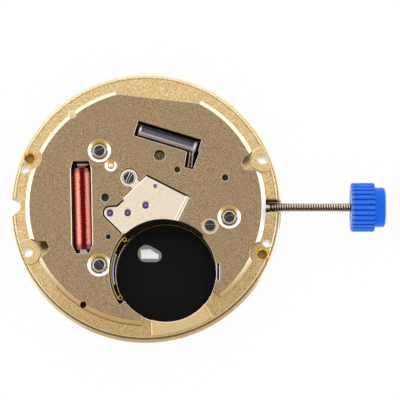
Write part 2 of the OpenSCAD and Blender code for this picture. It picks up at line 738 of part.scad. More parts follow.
// Flat stator: a ring round the rotor and an arm to each end of the core
module stator_outline(grow) {
    w = stator_arm_w / 2 + grow;
    translate(rotor_at) circle(r = stator_ring_r + grow, $fn = 48);
    polygon(stator_arm(screw_a, 1, w));
    polygon(stator_arm(screw_b, -1, w));
}
function stator_arm(pad, side, w) = [pad + side * [w + 0.1, 0.25 + w], pad + side * [-w, 0.25 + w],
    pad + side * [-w, -1.6],
    rotor_at + [-side * w, side * 0.9], rotor_at + [side * w, side * 0.9], pad + side * [w + 0.1, -1.4]];
module stator() {
    top = stator_z + stator_t;
    color("#8f8f96") difference() {
        union() {
            translate(rotor_at) disc(stator_ring_r, stator_z, top);
            slab(stator_z, top) polygon(stator_arm(screw_a, 1, stator_arm_w / 2));
            slab(stator_z, top) polygon(stator_arm(screw_b, -1, stator_arm_w / 2));
        }
        translate(rotor_at) disc(stator_bore_r, stator_z - 1, top + 1);
        for (s = [-1, 1]) translate(rotor_at + [s * stator_bore_r, 0]) disc(0.12, stator_z - 1, top + 1);
        for (p = [screw_a, screw_b]) translate(p) disc(shank_d / 2 + 0.03, stator_z - 1, top + 1);
    }
}

chip_at = [4.9, 2.5];
module board_outline() {
    polygon([[-0.7, 5.9], [-0.6, 4.1], [0.4, 3.4], [2.6, 3.5], [4.7, 1.2], [8.4, 1.9], [8.7, 3.6],
        [5.2, 4.4],
        [4.5, 3.1], [3.2, 3.5], [3.5, 5.1]]);
}
module circuit_board() { color("#7d6a2c") slab(board_z, board_z + board_t) board_outline(); }
module circuit_chip() {
    color("#1c1c20") slab(board_z - 0.42, board_z) translate(chip_at) square([1.8, 1.6], center = true);
}
module trimmer() {
    color("#c2a24a") translate([small_holes[0][0], small_holes[0][1], board_z + board_t]) {
        cylinder(r = 0.48, h = 0.12, $fn = 48);
        translate([0, 0, 0.12]) cylinder(r1 = 0.2, r2 = 0.1, h = 0.12, $fn = 48);
    }
}
module crystal_can() {
    color("#8b86a0") in_pocket() translate([-pocket_l / 2 + 0.25, 0, coil_z + 0.3]) rotate([0, 90, 0])
        rotate_extrude($fn = 48) polygon([[0, 0], [crystal_d / 2 - 0.12, 0], [crystal_d / 2, 0.12],
            [crystal_d / 2, crystal_l], [0, crystal_l]]);
}
module crystal_leads() {
    z = coil_z + 0.3;
    tail = crystal_at + polar(crystal_l - pocket_l / 2 + 0.25, crystal_turn);
    side = polar(0.2, crystal_turn + 90);
    color("#c9c4bc") for (s = [-1, 1]) {
        a = tail + s * side;
        b = a + polar(0.28, crystal_turn);
        c = [4.12, 3.75] + [0.22 * s, 0];
        round_rod([a[0], a[1], z], [b[0], b[1], z], lead_d / 2);
        round_rod([b[0], b[1], z], [c[0], c[1], z], lead_d / 2);
        translate([b[0], b[1], z]) sphere(lead_d / 2, $fn = 16);
    }
}

// The window is wider at its left end
module window_outline(grow) {
    hull() {
        translate(pad_window_at) circle(d = pad_window_w + 2 * grow, $fn = 32);
        translate(pad_window_at + [0.87, -0.22]) circle(d = pad_window_w - 0.46 + 2 * grow, $fn = 32);
    }
}
module well_insulator() {
    color("#141216") slab(well_z, insulator_top) difference() {
        translate(well_at) circle(r = well_r - seat_gap, $fn = 64);
        window_outline(0);
    }
}
// A spring blade with a raised pad, standing in the window
module minus_contact() {
    color("#dfdfe4") translate([0, 0, well_z]) {
        linear_extrude(0.06) window_outline(-seat_gap);
        translate([pad_window_at[0], pad_window_at[1], 0.05]) hull() {
            linear_extrude(0.01) polygon([[-0.6, 0.4], [0.35, 0.45], [1.2, -0.1], [1.15, -0.5], [-0.5,
                -0.5]]);
            translate([0, 0, 0.08]) linear_extrude(0.01)
                polygon([[-0.55, 0.3], [0.05, 0.28], [0.8, -0.02], [0.7, -0.33], [-0.45, -0.33]]);
        }
    }
}
// The plus contact is a spring strip round the left of the well, curled in at both ends
module plus_contact() {
    color("#d9b45c") translate([well_at[0], well_at[1], floor_z - 0.1]) {
        rotate(142) rotate_extrude(angle = 68, $fn = 96) translate([plus_r - strip_t, 0])
            square([strip_t, strip_h]);
        for (a = [142, 210]) rotate(a) translate([plus_r - strip_t - 0.18, 0]) curl();
    }
}
module curl() {
    difference() {
        cylinder(r = 0.22, h = strip_h, $fn = 48);
        translate([0, 0, -1]) cylinder(r = 0.12, h = 5, $fn = 48);
    }
}
module contact_spring() {
    color("#77727f") translate([well_at[0], well_at[1], floor_z - 0.1])
        rotate(160) rotate_extrude(angle = 34, $fn = 96) translate([well_r + 0.18, 0])
            square([strip_t, strip_h - 0.3]);
}

// A wheel on its arbor; children cut the windows
module spoked(z, r, a, z0) {
    difference() {
        slab(z0, z0 + wheel_t) polygon(tooth_points(z, r, a));
        for (i = [0:3]) rotate(45 + 90 * i) translate([r * 0.56, 0]) disc(r * 0.26, z0 - 1, z0 + 1);
    }
}
pivot_low = plate_jewel_z + 0.05;
pivot_high = jewel_z + jewel_t - 0.02;

module rotor_magnet() {
    color("#55555c") translate(rotor_at) difference() {
        disc(magnet_d / 2, magnet_z, magnet_z + magnet_t);
        disc(arbor_d / 2, magnet_z - 1, magnet_z + 1);
    }
}
module rotor_pinion() {
    turn = turn_of(inter_at - rotor_at);
    color("#b8b8c0") translate(rotor_at) {
        disc(pivot_d / 2, pivot_low, pivot_high);
        disc(arbor_d / 2, floor_z + end_gap, jewel_z - end_gap);
        slab(inter_z - 0.08, magnet_z) polygon(leaf_points(rotor_leaves, rotor_pitch, turn));
    }
}
module intermediate_wheel() {
    back = turn_of(rotor_at - inter_at);
    color("#d8b968") translate(inter_at) {
        spoked(inter_teeth, inter_pitch, back + 180 / inter_teeth, inter_z);
        disc(pivot_d / 2, pivot_low, pivot_high);
        disc(arbor_d / 2, floor_z + end_gap, jewel_z - end_gap);
        disc(0.34, inter_z, inter_z + wheel_t);
        slab(second_z - 0.06, second_z + wheel_t + 0.06) polygon(leaf_points(inter_leaves,
            inter_pinion_pitch, turn_of(-inter_at)));
    }
}
module second_wheel() {
    pinion_turn = turn_of(third_at);
    color("#d8b968") difference() {
        union() {
            spoked(second_teeth, second_pitch, turn_of(inter_at) + 180 / second_teeth, second_z);
            disc(0.34, second_z, second_z + wheel_t);
            slab(third_z - 0.06, second_z + 0.01) polygon(leaf_points(second_leaves,
                second_pinion_pitch, pinion_turn));
            disc(seconds_d / 2, -seconds_out, -minute_out);
            taper(seconds_d / 2, -minute_out, jewel_z - end_gap, 0.005);
            disc(pivot_d / 2, jewel_z - 0.1, pivot_high);
        }
    }
}
module third_wheel() {
    color("#d8b968") translate(third_at) {
        spoked(third_teeth, third_pitch, turn_of(-third_at) + 180 / third_teeth, third_z);
        disc(pivot_d / 2, pivot_low, pivot_high);
        disc(arbor_d / 2, floor_z + end_gap, jewel_z - end_gap);
        slab(centre_z - 0.03, third_z + 0.01) polygon(leaf_points(third_leaves, third_pinion_pitch,
            turn_of(-third_at)));
    }
}
module centre_wheel() {
    color("#d8b968") difference() {
        union() {
            spoked(centre_teeth, centre_pitch, centre_turn + 180 / centre_teeth, centre_z);
            disc(0.42, centre_z, centre_z + wheel_t);
            disc(tube_d / 2, -hour_out + 0.1, centre_z + wheel_t + 0.1);
        }
        disc(seconds_d / 2 + run_gap, -5, 5);
    }
}
module cannon_pinion() {
    color("#c8c8d0") difference() {
        union() {
            slab(minute_z - 0.04, recess_h - end_gap) polygon(leaf_points(cannon_leaves, cannon_pitch,
                minute_dir));
            disc(minute_d / 2, -minute_out, -hour_out);
            taper(minute_d / 2, -hour_out, minute_z, -0.015);
        }
        disc(cannon_bore / 2, -5, 5);
    }
}
module minute_wheel() {
    color("#d8b968") translate(minute_at) {
        slab(minute_z, minute_z + motion_t) polygon(tooth_points(minute_teeth, minute_pitch,
            minute_dir + 180 + 180 / minute_teeth));
        slab(minute_pinion_z, minute_z + 0.01) polygon(leaf_points(minute_leaves, minute_pinion_pitch,
            minute_dir + 180));
        disc(0.15, minute_z, recess_h + 0.12);
    }
}
module hour_wheel() {
    color("#d8b968") difference() {
        union() {
            slab(hour_z, hour_z + motion_t) polygon(tooth_points(hour_teeth, hour_pitch,
                minute_dir + 180 / hour_teeth));
            slab(date_gear_z, date_gear_z + motion_t) polygon(tooth_points(date_gear_teeth,
                date_gear_pitch, idler_turn));
            disc(hour_d / 2, -hour_out, 0);
            disc(hour_hub_r, 0, hour_z + motion_t);
        }
        disc(minute_d / 2 + run_gap, -5, 5);
    }
}
module setting_wheel() {
    turn = mesh_turn(minute_dir + 180 + 180 / minute_teeth, minute_teeth, setting_turn, setting_teeth);
    color("#b8b8c0") translate(setting_at) {
        slab(minute_z, minute_z + motion_t + 0.04) polygon(leaf_points(setting_teeth, setting_r, turn));
        disc(0.15, minute_z, recess_h + 0.12);
    }
}
idler_phase = mesh_turn(idler_turn, date_gear_teeth, idler_turn, idler_teeth);
module date_idler() {
    color("#d8b968") translate(idler_at) {
        slab(date_gear_z, date_gear_z + motion_t) polygon(tooth_points(idler_teeth, idler_pitch,
            idler_phase));
        disc(0.2, date_gear_z, groove_h + 0.35);
    }
}
module date_wheel() {
    turn = mesh_turn(idler_phase, idler_teeth, date_wheel_turn, date_wheel_teeth);
    color("#d8b968") translate(date_wheel_at) {
        slab(date_gear_z, date_gear_z + motion_t) polygon(tooth_points(date_wheel_teeth,
            date_wheel_pitch, turn));
        disc(0.2, date_z + 0.02, groove_h + 0.35);
        disc(0.5, date_z + 0.02, date_gear_z + 0.01);
        slab(date_z + 0.02, date_gear_z - end_gap) polygon([[-0.4, -0.5], [0.5, -0.5], [1.6, -0.25],
            [finger_l, 0], [1.6, 0.35], [-0.4, 0.5]]);
    }
}
module date_ring() {
    step = 360 / date_teeth;
    color("#f2f2ee") slab(date_z, date_z + date_t) difference() {
        circle(r = date_r, $fn = 128);
        polygon([for (i = [0:date_teeth - 1]) each [
            polar(date_root_r, (i - 0.3) * step), polar(date_root_r, (i + 0.3) * step),
                polar(date_tip_r, (i + 0.5) * step)]]);
    }
}
module date_keeper() {
    color("#cfc9bd") difference() {
        disc(keeper_r, keeper_z, keeper_z + keeper_t);
        disc(hour_hub_r + 0.08, -1, 1);
        for (p = keeper_screws_at) translate(p) disc(0.22, -1, 1);
        translate(date_wheel_at) disc(1.1, -1, 1);
        translate(setting_at) disc(0.7, -1, 1);
        translate(corrector_at) disc(0.95, -1, 1);
        translate((jumper_at + jumper_beak) / 2) disc(0.8, -1, 1);
    }
}
module keeper_screws() {
    color("#3c3a40") for (p = keeper_screws_at) translate(p) difference() {
        disc(0.2, keeper_z, 0.75);
        translate([-0.5, -0.05, -0.5]) cube([1, 0.1, keeper_z + 0.56]);
    }
}
module date_jumper() {
    z = date_z + 0.02;
    bend = jumper_at + [0.35, -1.2];
    color("#8d8d95") {
        slab(z, z + date_t - 0.04) {
            hull() {
                translate(jumper_at) circle(0.5, $fn = 32);
                translate(bend) circle(0.2, $fn = 24);
            }
            hull() {
                translate(bend) circle(0.2, $fn = 24);
                translate(jumper_beak) circle(0.1, $fn = 24);
            }
        }
        translate(jumper_at) disc(0.2, z, groove_h + 0.35);
    }
}
module corrector() {
    z = date_z + 0.02;
    color("#b8b8c0") translate(corrector_at) {
        slab(z, z + date_t) polygon([for (i = [0:7]) each [polar(corrector_r, 45 * i),
            polar(corrector_r * 0.55, 45 * i + 22.5)]]);
        disc(0.2, z, groove_h + 0.35);
    }
}

module stem_profile() {
    pilot = pilot_d / 2;
    body = stem_d / 2;
    groove = stem_groove_d / 2;
    core = thread_d / 2 - thread_depth;
    crest = thread_d / 2;
    g0 = lever_pin_x - stem_groove_w / 2;
    g1 = lever_pin_x + stem_groove_w / 2;
    turns = floor((stem_end - thread_x) / thread_pitch);
    polygon(concat([[0, 4.1], [pilot - 0.08, 4.1], [pilot, 4.2], [pilot, square_x], [0, square_x]]));
    polygon(concat([[0, 7.4], [body, 7.4], [body, g0], [groove, g0], [groove, g1], [body, g1], [body,
        hub_x - 0.05],
        [crest - 0.02, hub_x], [crest - 0.02, thread_x - 0.1], [core, thread_x]],
        [for (i = [0:turns - 1]) each [[core, thread_x + (i + 0.2) * thread_pitch], [crest,
            thread_x + (i + 0.45) * thread_pitch],
            [crest, thread_x + (i + 0.55) * thread_pitch], [core, thread_x + (i + 0.8) * thread_pitch]]],
        [[core, stem_end], [0, stem_end]]));
}
module stem() {
    color("#4a4850") {
        translate([0, 0, stem_z]) rotate([0, 90, 0]) rotate_extrude($fn = 48) stem_profile();
        translate([square_x, -square_w / 2, stem_z - square_w / 2]) cube([7.41 - square_x, square_w,
            square_w]);
    }
}
module clutch_pinion() {
    groove_x = clutch_x + 0.8;
    color("#c8c8d0") difference() {
        on_axis(clutch_x, clutch_x + clutch_l, clutch_d / 2);
        translate([clutch_x - 1, -square_w / 2 - run_gap, stem_z - square_w / 2 - run_gap])
            cube([clutch_l + 2, square_w + 2 * run_gap, square_w + 2 * run_gap]);
        difference() {
            on_axis(groove_x, groove_x + clutch_groove_w, clutch_d);
            on_axis(groove_x - 1, groove_x + 2, clutch_groove_d / 2);
        }
        for (i = [0:7]) translate([clutch_x - 0.01, 0, stem_z]) rotate([45 * i, 0, 0])
            translate([0, -0.12, square_w / 2 + 0.12]) cube([0.25, 0.24, 1]);
    }
}
module crown() {
    r = crown_d / 2;
    b = button_d / 2;
    x1 = crown_x + crown_l;
    x2 = x1 + button_l;
    color("#1e64e1") difference() {
        translate([0, 0, stem_z]) rotate([0, 90, 0]) rotate_extrude($fn = 96) polygon([[0, crown_x],
            [r - 0.3, crown_x],
            [r - 0.08, crown_x + 0.12], [r, crown_x + 0.3], [r, x1 - 0.3], [r - 0.08, x1 - 0.1],
                [r - 0.3, x1], [b, x1],
            [b, x2 - 0.3], [b - 0.1, x2 - 0.1], [b - 0.3, x2], [0, x2]]);
        for (i = [0:flutes - 1]) translate([crown_x - 1, 0, stem_z]) rotate([360 / flutes * i, 0, 0])
            translate([0, 0, r + 0.02])
            rotate([0, 90, 0]) cylinder(r = flute_depth, h = crown_l + 2, $fn = 4);
        on_axis(crown_x - 1, stem_end + 0.05, thread_d / 2 + run_gap);
    }
}

module setting_lever() {
    color("#8d8d95") {
        slab(lever_z, lever_z + lever_t) {
            hull() { translate(lever_at) circle(0.6, $fn = 32); translate([lever_pin_x, 0])
                circle(0.34, $fn = 32); }
        }
        translate([lever_pin_x, 0]) disc(lever_pin_d / 2, lever_z, stem_z - stem_groove_d / 2 - 0.05);
        translate(lever_at) disc(0.25, lever_z, 1.05);
    }
}
module yoke() {
    lug_x = clutch_x + 0.8 + clutch_groove_w - 0.28;
    color("#8d8d95") {
        slab(lever_z, lever_z + lever_t) {
            hull() { translate(yoke_at) circle(0.5, $fn = 32); translate([lug_x + 0.1, -0.75])
                circle(0.2, $fn = 24); }
        }
        slab(lever_z, stem_z - clutch_groove_d / 2 - 0.05) translate([lug_x, -0.85]) square([0.2, 0.35]);
        translate(yoke_at) disc(0.25, lever_z, 1.05);
    }
}
module lever_spring() {
    color("#8d8d95") slab(lever_z, lever_z + 0.12) {
        hull() {
            translate([5.85, -0.95]) circle(0.1, $fn = 16);
            translate([5.78, -2.3]) circle(0.12, $fn = 16);
        }
    }
}

main_plate();
cover_plate();
train_bridge();
train_jewels();
third_jewel();
plate_jewels();
cover_screws();
bridge_screw();
locating_pins();
case_bushes();
coil_core();
coil_winding();
coil_terminals();
stator();
circuit_board();
circuit_chip();
trimmer();
crystal_can();
crystal_leads();
well_insulator();
minus_contact();
plus_contact();
contact_spring();
rotor_magnet();
rotor_pinion();
intermediate_wheel();
second_wheel();
third_wheel();
centre_wheel();
cannon_pinion();
minute_wheel();
hour_wheel();
setting_wheel();
date_idler();
date_wheel();
date_ring();
date_keeper();
keeper_screws();
date_jumper();
corrector();
clutch_pinion();
stem();
crown();
setting_lever();
yoke();
lever_spring();
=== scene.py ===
import bpy
import math
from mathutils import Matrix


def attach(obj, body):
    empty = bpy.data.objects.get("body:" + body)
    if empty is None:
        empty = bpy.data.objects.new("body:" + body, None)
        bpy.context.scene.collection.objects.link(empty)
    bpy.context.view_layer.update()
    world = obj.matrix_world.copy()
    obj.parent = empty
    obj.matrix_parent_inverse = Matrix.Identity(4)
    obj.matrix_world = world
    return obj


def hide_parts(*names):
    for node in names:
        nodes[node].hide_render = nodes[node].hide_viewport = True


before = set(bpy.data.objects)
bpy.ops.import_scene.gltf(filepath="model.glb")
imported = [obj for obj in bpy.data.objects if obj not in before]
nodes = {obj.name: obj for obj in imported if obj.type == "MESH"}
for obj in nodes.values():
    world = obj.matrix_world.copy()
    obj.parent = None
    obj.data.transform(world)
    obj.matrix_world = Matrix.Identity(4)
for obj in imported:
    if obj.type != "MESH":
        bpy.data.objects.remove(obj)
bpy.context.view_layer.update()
mm = 0.001
# Faces that meet at less than this many degrees are shaded as one
smoothUpTo = 32
print("frame loaded")

# Places that pieces and finishes share, in mm from the hand posts, as the cover side shows them
places = {
    "coverScrews": {"A": (-4.44, 5.28), "B": (-4.39, -5.73), "C": (7.99, -1.13), "E": (6.15, -1.95)},
    "arbors": {"rotor": (-3.4, -0.74), "intermediate": (-1.7, -0.73), "second": (0, 0),
               "third": (0.92, 1.85)},
    "cellWell": (1.95, -6.38), "coil": (-6.1, -0.18), "trimmer": (1.31, 4.82), "stemHigh": 1.5,
    "dialFoot": (11.197, 4.479), "locatingHole": (11.578, -3.584), "drain": (-5.87, -9.53)}


# Small tools
def makeActive(piece):
    bpy.ops.object.select_all(action="DESELECT")
    piece.select_set(True)
    bpy.context.view_layer.objects.active = piece


def finishModifier(piece, kind, settings):
    makeActive(piece)
    modifier = piece.modifiers.new(kind.title(), kind)
    for name, value in settings.items():
        setattr(modifier, name, value)
    bpy.ops.object.modifier_apply(modifier=modifier.name)


def polar(radius, degrees):
    return radius * math.cos(math.radians(degrees)), radius * math.sin(math.radians(degrees))


# Ends an edit with every face turned outwards
def faceOutward():
    bpy.ops.mesh.select_all(action="SELECT")
    bpy.ops.mesh.normals_make_consistent()
    bpy.ops.object.mode_set(mode="OBJECT")


# A ring is drawn up through radius and height pairs in mm, as on a lathe, round Z
def turnOnLathe(name, profile, sides=48, bored=False):
    r, z = profile[0]
    bpy.ops.mesh.primitive_circle_add(vertices=sides, radius=r * mm, fill_type="NOTHING" if bored else "NGON")
    piece = bpy.context.object
    piece.name = name
    bpy.ops.object.mode_set(mode="EDIT")
    bpy.ops.mesh.select_mode(type="EDGE" if bored else "FACE")
    bpy.ops.mesh.select_all(action="SELECT")
    bpy.ops.transform.translate(value=(0, 0, z * mm))
    for nextR, nextZ in profile[1:]:
        bpy.ops.mesh.extrude_region_move(TRANSFORM_OT_translate={"value": (0, 0, (nextZ - z) * mm)})
        bpy.ops.transform.resize(value=(nextR / r, nextR / r, 1), center_override=(0, 0, nextZ * mm))
        r, z = nextR, nextZ
    if bored:
        bpy.ops.mesh.select_all(action="DESELECT")
        bpy.ops.mesh.select_mode(type="EDGE")
        bpy.ops.mesh.select_non_manifold()
        bpy.ops.mesh.bridge_edge_loops()
    faceOutward()
    return piece


# A small ring is carried round Z along a screw line and closed at both ends: a winding, or a thread's ridge
def windRidge(sides, ringR, reach, start, pitch, turns, steps):
    bpy.ops.mesh.primitive_circle_add(vertices=sides, radius=ringR * mm, fill_type="NOTHING")
    ridge = applyPlace(bpy.context.object, (reach, 0, start), (90, 0, 0))
    finishModifier(ridge, "SCREW", {"axis": "Z", "angle": math.tau, "screw_offset": pitch * mm,
                                    "iterations": turns, "steps": steps, "render_steps": steps})
    bpy.ops.object.mode_set(mode="EDIT")
    bpy.ops.mesh.select_all(action="SELECT")
    bpy.ops.mesh.remove_doubles(threshold=1e-7)
    bpy.ops.mesh.fill_holes(sides=0)
    faceOutward()
    return ridge


def joinPieces(first, others):
    makeActive(first)
    for other in others:
        other.select_set(True)
    bpy.ops.object.join()


# The place goes into the mesh: the object stays at the origin, unturned
def applyPlace(piece, at=(0, 0, 0), turn=(0, 0, 0)):
    makeActive(piece)
    piece.rotation_euler = [math.radians(a) for a in turn]
    piece.location = [v * mm for v in at]
    bpy.ops.object.transform_apply()
    return piece


def cutAway(piece, cutter):
    finishModifier(piece, "BOOLEAN", {"object": cutter, "operation": "DIFFERENCE", "solver": "EXACT"})
    bpy.data.objects.remove(cutter)


def blockOf(size, at=(0, 0, 0), turn=0):
    bpy.ops.mesh.primitive_cube_add(size=1)
    block = bpy.context.object
    block.scale = [v * mm for v in size]
    return applyPlace(block, at, (0, 0, turn))


# Each finished piece gets its material, its slot, its body and the CAD node that it stands for
def mountPiece(piece, material, stoodFor=None, body="movement"):
    piece.data.materials.clear()
    piece.data.materials.append(material)
    makeActive(piece)
    bpy.ops.object.shade_smooth_by_angle(angle=math.radians(smoothUpTo))
    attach(piece, body)
    if stoodFor:
        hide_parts(stoodFor)


# Materials
def linear(hexColour):
    parts = [int(hexColour[i:i + 2], 16) / 255 for i in (1, 3, 5)]
    return tuple(c / 12.92 if c <= 0.04045 else ((c + 0.055) / 1.055) ** 2.4 for c in parts) + (1,)


# Settings are a node's own or the values of its sockets. A link from a node takes that node's first output
def addNode(tree, kind, settings=None, links=None):
    node = tree.nodes.new("ShaderNode" + kind)
    for name, value in (settings or {}).items():
        if isinstance(name, str) and hasattr(node, name):
            setattr(node, name, value)
        else:
            node.inputs[name].default_value = value
    for name, source in (links or {}).items():
        socket = source.outputs[0] if isinstance(source, bpy.types.Node) else source
        tree.links.new(socket, node.inputs[name])
    return node


# A range's ends, as the sockets that read it take them
def readFrom(low, high):
    return {"From Min": low, "From Max": high}


def emptyMaterial(name):
    material = bpy.data.materials.new(name)
    material.use_nodes = True
    material.node_tree.nodes.clear()
    return material, material.node_tree


# Object space seen from a place of its own, in mm and degrees
def ownSpace(tree, place, at, turn):
    return addNode(tree, "Mapping", {
        "vector_type": "TEXTURE", "Location": [v * mm for v in at], "Rotation": (0, 0, math.radians(turn))},
        {"Vector": place.outputs["Object"]})


# Colours across a piece, each at its share of the way
def bandsAcross(tree, share, bands):
    ramp = addNode(tree, "ValToRGB", {}, {"Fac": share})
    elements = ramp.color_ramp.elements
    for index, (position, shade) in enumerate((bands[0], bands[-1])):
        elements[index].position = position
        elements[index].color = linear(shade)
    for position, shade in bands[1:-1]:
        elements.new(position).color = linear(shade)
    return ramp


# The stretches of noise over which grain, patches and roughness go from one end of their range to the other
noise = {"grain": (0.36, 0.64), "patch": (0.4, 0.7), "rough": (0.3, 0.7), "plain": (0, 1),
         "grainDetail": 3.0, "patchDetail": 2.0}


# The grain sets how rough a place is, between the look's two ends. A bump is its height in mm and strength
def roughAndBump(tree, grain, look, span):
    least, most = look["rough"]
    depth, strength = look["bump"]
    rough = addNode(tree, "MapRange", {**readFrom(*span), "To Min": least, "To Max": most}, {"Value": grain})
    bump = addNode(tree, "Bump", {"Strength": strength, "Distance": depth * mm}, {"Height": grain})
    return rough, bump


# The surface's shader, and the material's output
def closeMaterial(tree, colour, rough, bump, sockets):
    shader = addNode(tree, "BsdfPrincipled", sockets,
                     {"Base Color": colour.outputs[2], "Roughness": rough, "Normal": bump})
    addNode(tree, "OutputMaterial", {}, {"Surface": shader})
    return shader


# The colours are the dark and the light of the grain, and that of worn patches. Grain and patch are in mm,
# and the grain may be stretched along an axis
def makeFinish(name, colours, **look):
    material, tree = emptyMaterial(name)
    place = addNode(tree, "TexCoord")
    dark, light, worn = map(linear, colours)
    stretch = addNode(tree, "Mapping", {"vector_type": "TEXTURE", "Scale": look.get("stretch", (1, 1, 1))},
                      {"Vector": place.outputs["Object"]})
    grain = addNode(tree, "TexNoise", {"Scale": 1 / (look["grain"] * mm), "Detail": noise["grainDetail"]},
                    {"Vector": stretch})
    patch = addNode(tree, "TexNoise", {"Scale": 1 / (look["patch"] * mm), "Detail": noise["patchDetail"]},
                    {"Vector": place.outputs["Object"]})
    grainShare = addNode(tree, "MapRange", readFrom(*noise["grain"]), {"Value": grain})
    patchShare = addNode(tree, "MapRange", {
        **readFrom(*noise["patch"]), "To Max": look.get("patchShare", 0.35)}, {"Value": patch})
    mottle = addNode(tree, "Mix", {"data_type": "RGBA", 6: dark, 7: light}, {0: grainShare})
    colour = addNode(tree, "Mix", {"data_type": "RGBA", 7: worn}, {0: patchShare, 6: mottle.outputs[2]})
    rough, bump = roughAndBump(tree, grain, look, noise["rough"])
    for area in look.get("zones", {}).values():
        colour = stainZone(tree, place, colour, area)
    if "edge" in look:
        colour, rough = brightenEdges(tree, place, colour, rough, bump, look["edge"])
    for area in look.get("over", {}).values():
        colour = stainZone(tree, place, colour, area)
    closeMaterial(tree, colour, rough, bump,
                  {"Metallic": look.get("metallic", 1.0), **look.get("sockets", {})})
    return material


# A zone lies within ranges of r, x, y and z, in mm, in a space of its own that stands at "at" and is turned
# by "turn" degrees. An r from -1 takes in the middle, and with a height in "lying" r is taken round X. The
# zone's sides are "soft" mm wide
def zone(colour, soft, share=1.0, **where):
    return {"colour": linear(colour), "soft": soft, "share": share, **where}


# Zones take another colour: painted shade in pockets, gaps and corners, painted highlights, tones and turned
# bands
def stainZone(tree, place, colour, area):
    own = ownSpace(tree, place, (*area.get("at", (0, 0)), area.get("lying", 0)), area.get("turn", 0))
    axes = addNode(tree, "SeparateXYZ", {}, {"Vector": own})
    flat = addNode(tree, "CombineXYZ", {}, {"X": axes.outputs["Z" if "lying" in area else "X"],
                                            "Y": axes.outputs["Y"]})
    reach = addNode(tree, "VectorMath", {"operation": "LENGTH"}, {0: flat})
    readings = {"r": reach.outputs["Value"], "x": axes.outputs["X"], "y": axes.outputs["Y"],
                "z": axes.outputs["Z"]}
    share = None
    for kind, reading in readings.items():
        for limit, soft in zip(area.get(kind, ()), (-area["soft"], area["soft"])):
            step = addNode(tree, "MapRange", readFrom(limit * mm, (limit - soft) * mm), {"Value": reading})
            if share:
                step = addNode(tree, "Math", {"operation": "MULTIPLY"}, {0: share, 1: step})
            share = step
    part = addNode(tree, "Math", {"operation": "MULTIPLY", 1: area["share"]}, {0: share})
    return addNode(tree, "Mix", {"data_type": "RGBA", 7: area["colour"]}, {0: part, 6: colour.outputs[2]})


# How slopes and corners are told from flats: the normal's height on a slope, its way to the front, and how
# far a rounded normal strays from the real one at a corner
edgeFinder = {"slant": (0.97, 0.9), "upward": (0.3, 0.5), "front": (-0.6, -0.1), "corner": (0.985, 0.9)}


# Slanted faces and sharp edges are machined: smoother, and their colour goes towards the edge colour, on most
# finishes a nearly white painted highlight. "slope" and "corner" are the shares that they take, and "width"
# is a corner's, in mm
def brightenEdges(tree, place, colour, rough, bump, edge):
    axes = addNode(tree, "SeparateXYZ", {}, {"Vector": place.outputs["Normal"]})
    slant = addNode(tree, "MapRange", readFrom(*edgeFinder["slant"]), {"Value": axes.outputs["Z"]})
    upward = addNode(tree, "MapRange", readFrom(*edgeFinder["upward"]), {"Value": axes.outputs["Z"]})
    sloping = addNode(tree, "Math", {"operation": "MULTIPLY"}, {0: slant, 1: upward})
    # slopes towards -Y may take a colour of their own: painted shade, as less light falls from the front
    facing = addNode(tree, "MapRange", readFrom(*edgeFinder["front"]), {"Value": axes.outputs["Y"]})
    plain = linear(edge["colour"])
    front = linear(edge["front"]) if "front" in edge else plain
    tone = addNode(tree, "Mix", {"data_type": "RGBA", 6: front, 7: plain}, {0: facing})
    rounded = addNode(tree, "Bevel", {"samples": 4, "Radius": edge["width"] * mm})
    real = addNode(tree, "NewGeometry")
    agree = addNode(tree, "VectorMath", {"operation": "DOT_PRODUCT"}, {0: rounded, 1: real.outputs["Normal"]})
    corner = addNode(tree, "MapRange", {**readFrom(*edgeFinder["corner"]), "To Max": edge["corner"]},
                     {"Value": agree.outputs["Value"]})
    tree.links.new(rounded.outputs[0], bump.inputs["Normal"])
    slopes = addNode(tree, "Math", {"operation": "MULTIPLY", 1: edge.get("slope", 1.0)}, {0: sloping})
    share = addNode(tree, "Math", {"operation": "MAXIMUM"}, {0: slopes, 1: corner})
    bright = addNode(tree, "Mix", {"data_type": "RGBA"}, {0: share, 6: colour.outputs[2], 7: tone.outputs[2]})
    smooth = addNode(tree, "MapRange", {"To Max": edge["rough"]}, {"Value": share, "To Min": rough})
    return bright, smooth


# Painted light: the walls of the plate's through holes are painted nearly white, as if lit
paintedLightOnWalls = {f"painted light on the wall of the {hole} hole, {way}": zone(
    "#FFF7E6", 0.02, 0.85, at=(side * x, side * y), r=(-1, r), z=(0.05, high))
    for way, side in (("left", -1), ("right", 1))
    for hole, (x, y), r, high in (("foot", places["dialFoot"], 0.47, 2.66),
                                  ("locating", places["locatingHole"], 0.4, 2.42))}
blockEnd = {"x": (10.8, 12.6), "z": (2.8, 3.0)}

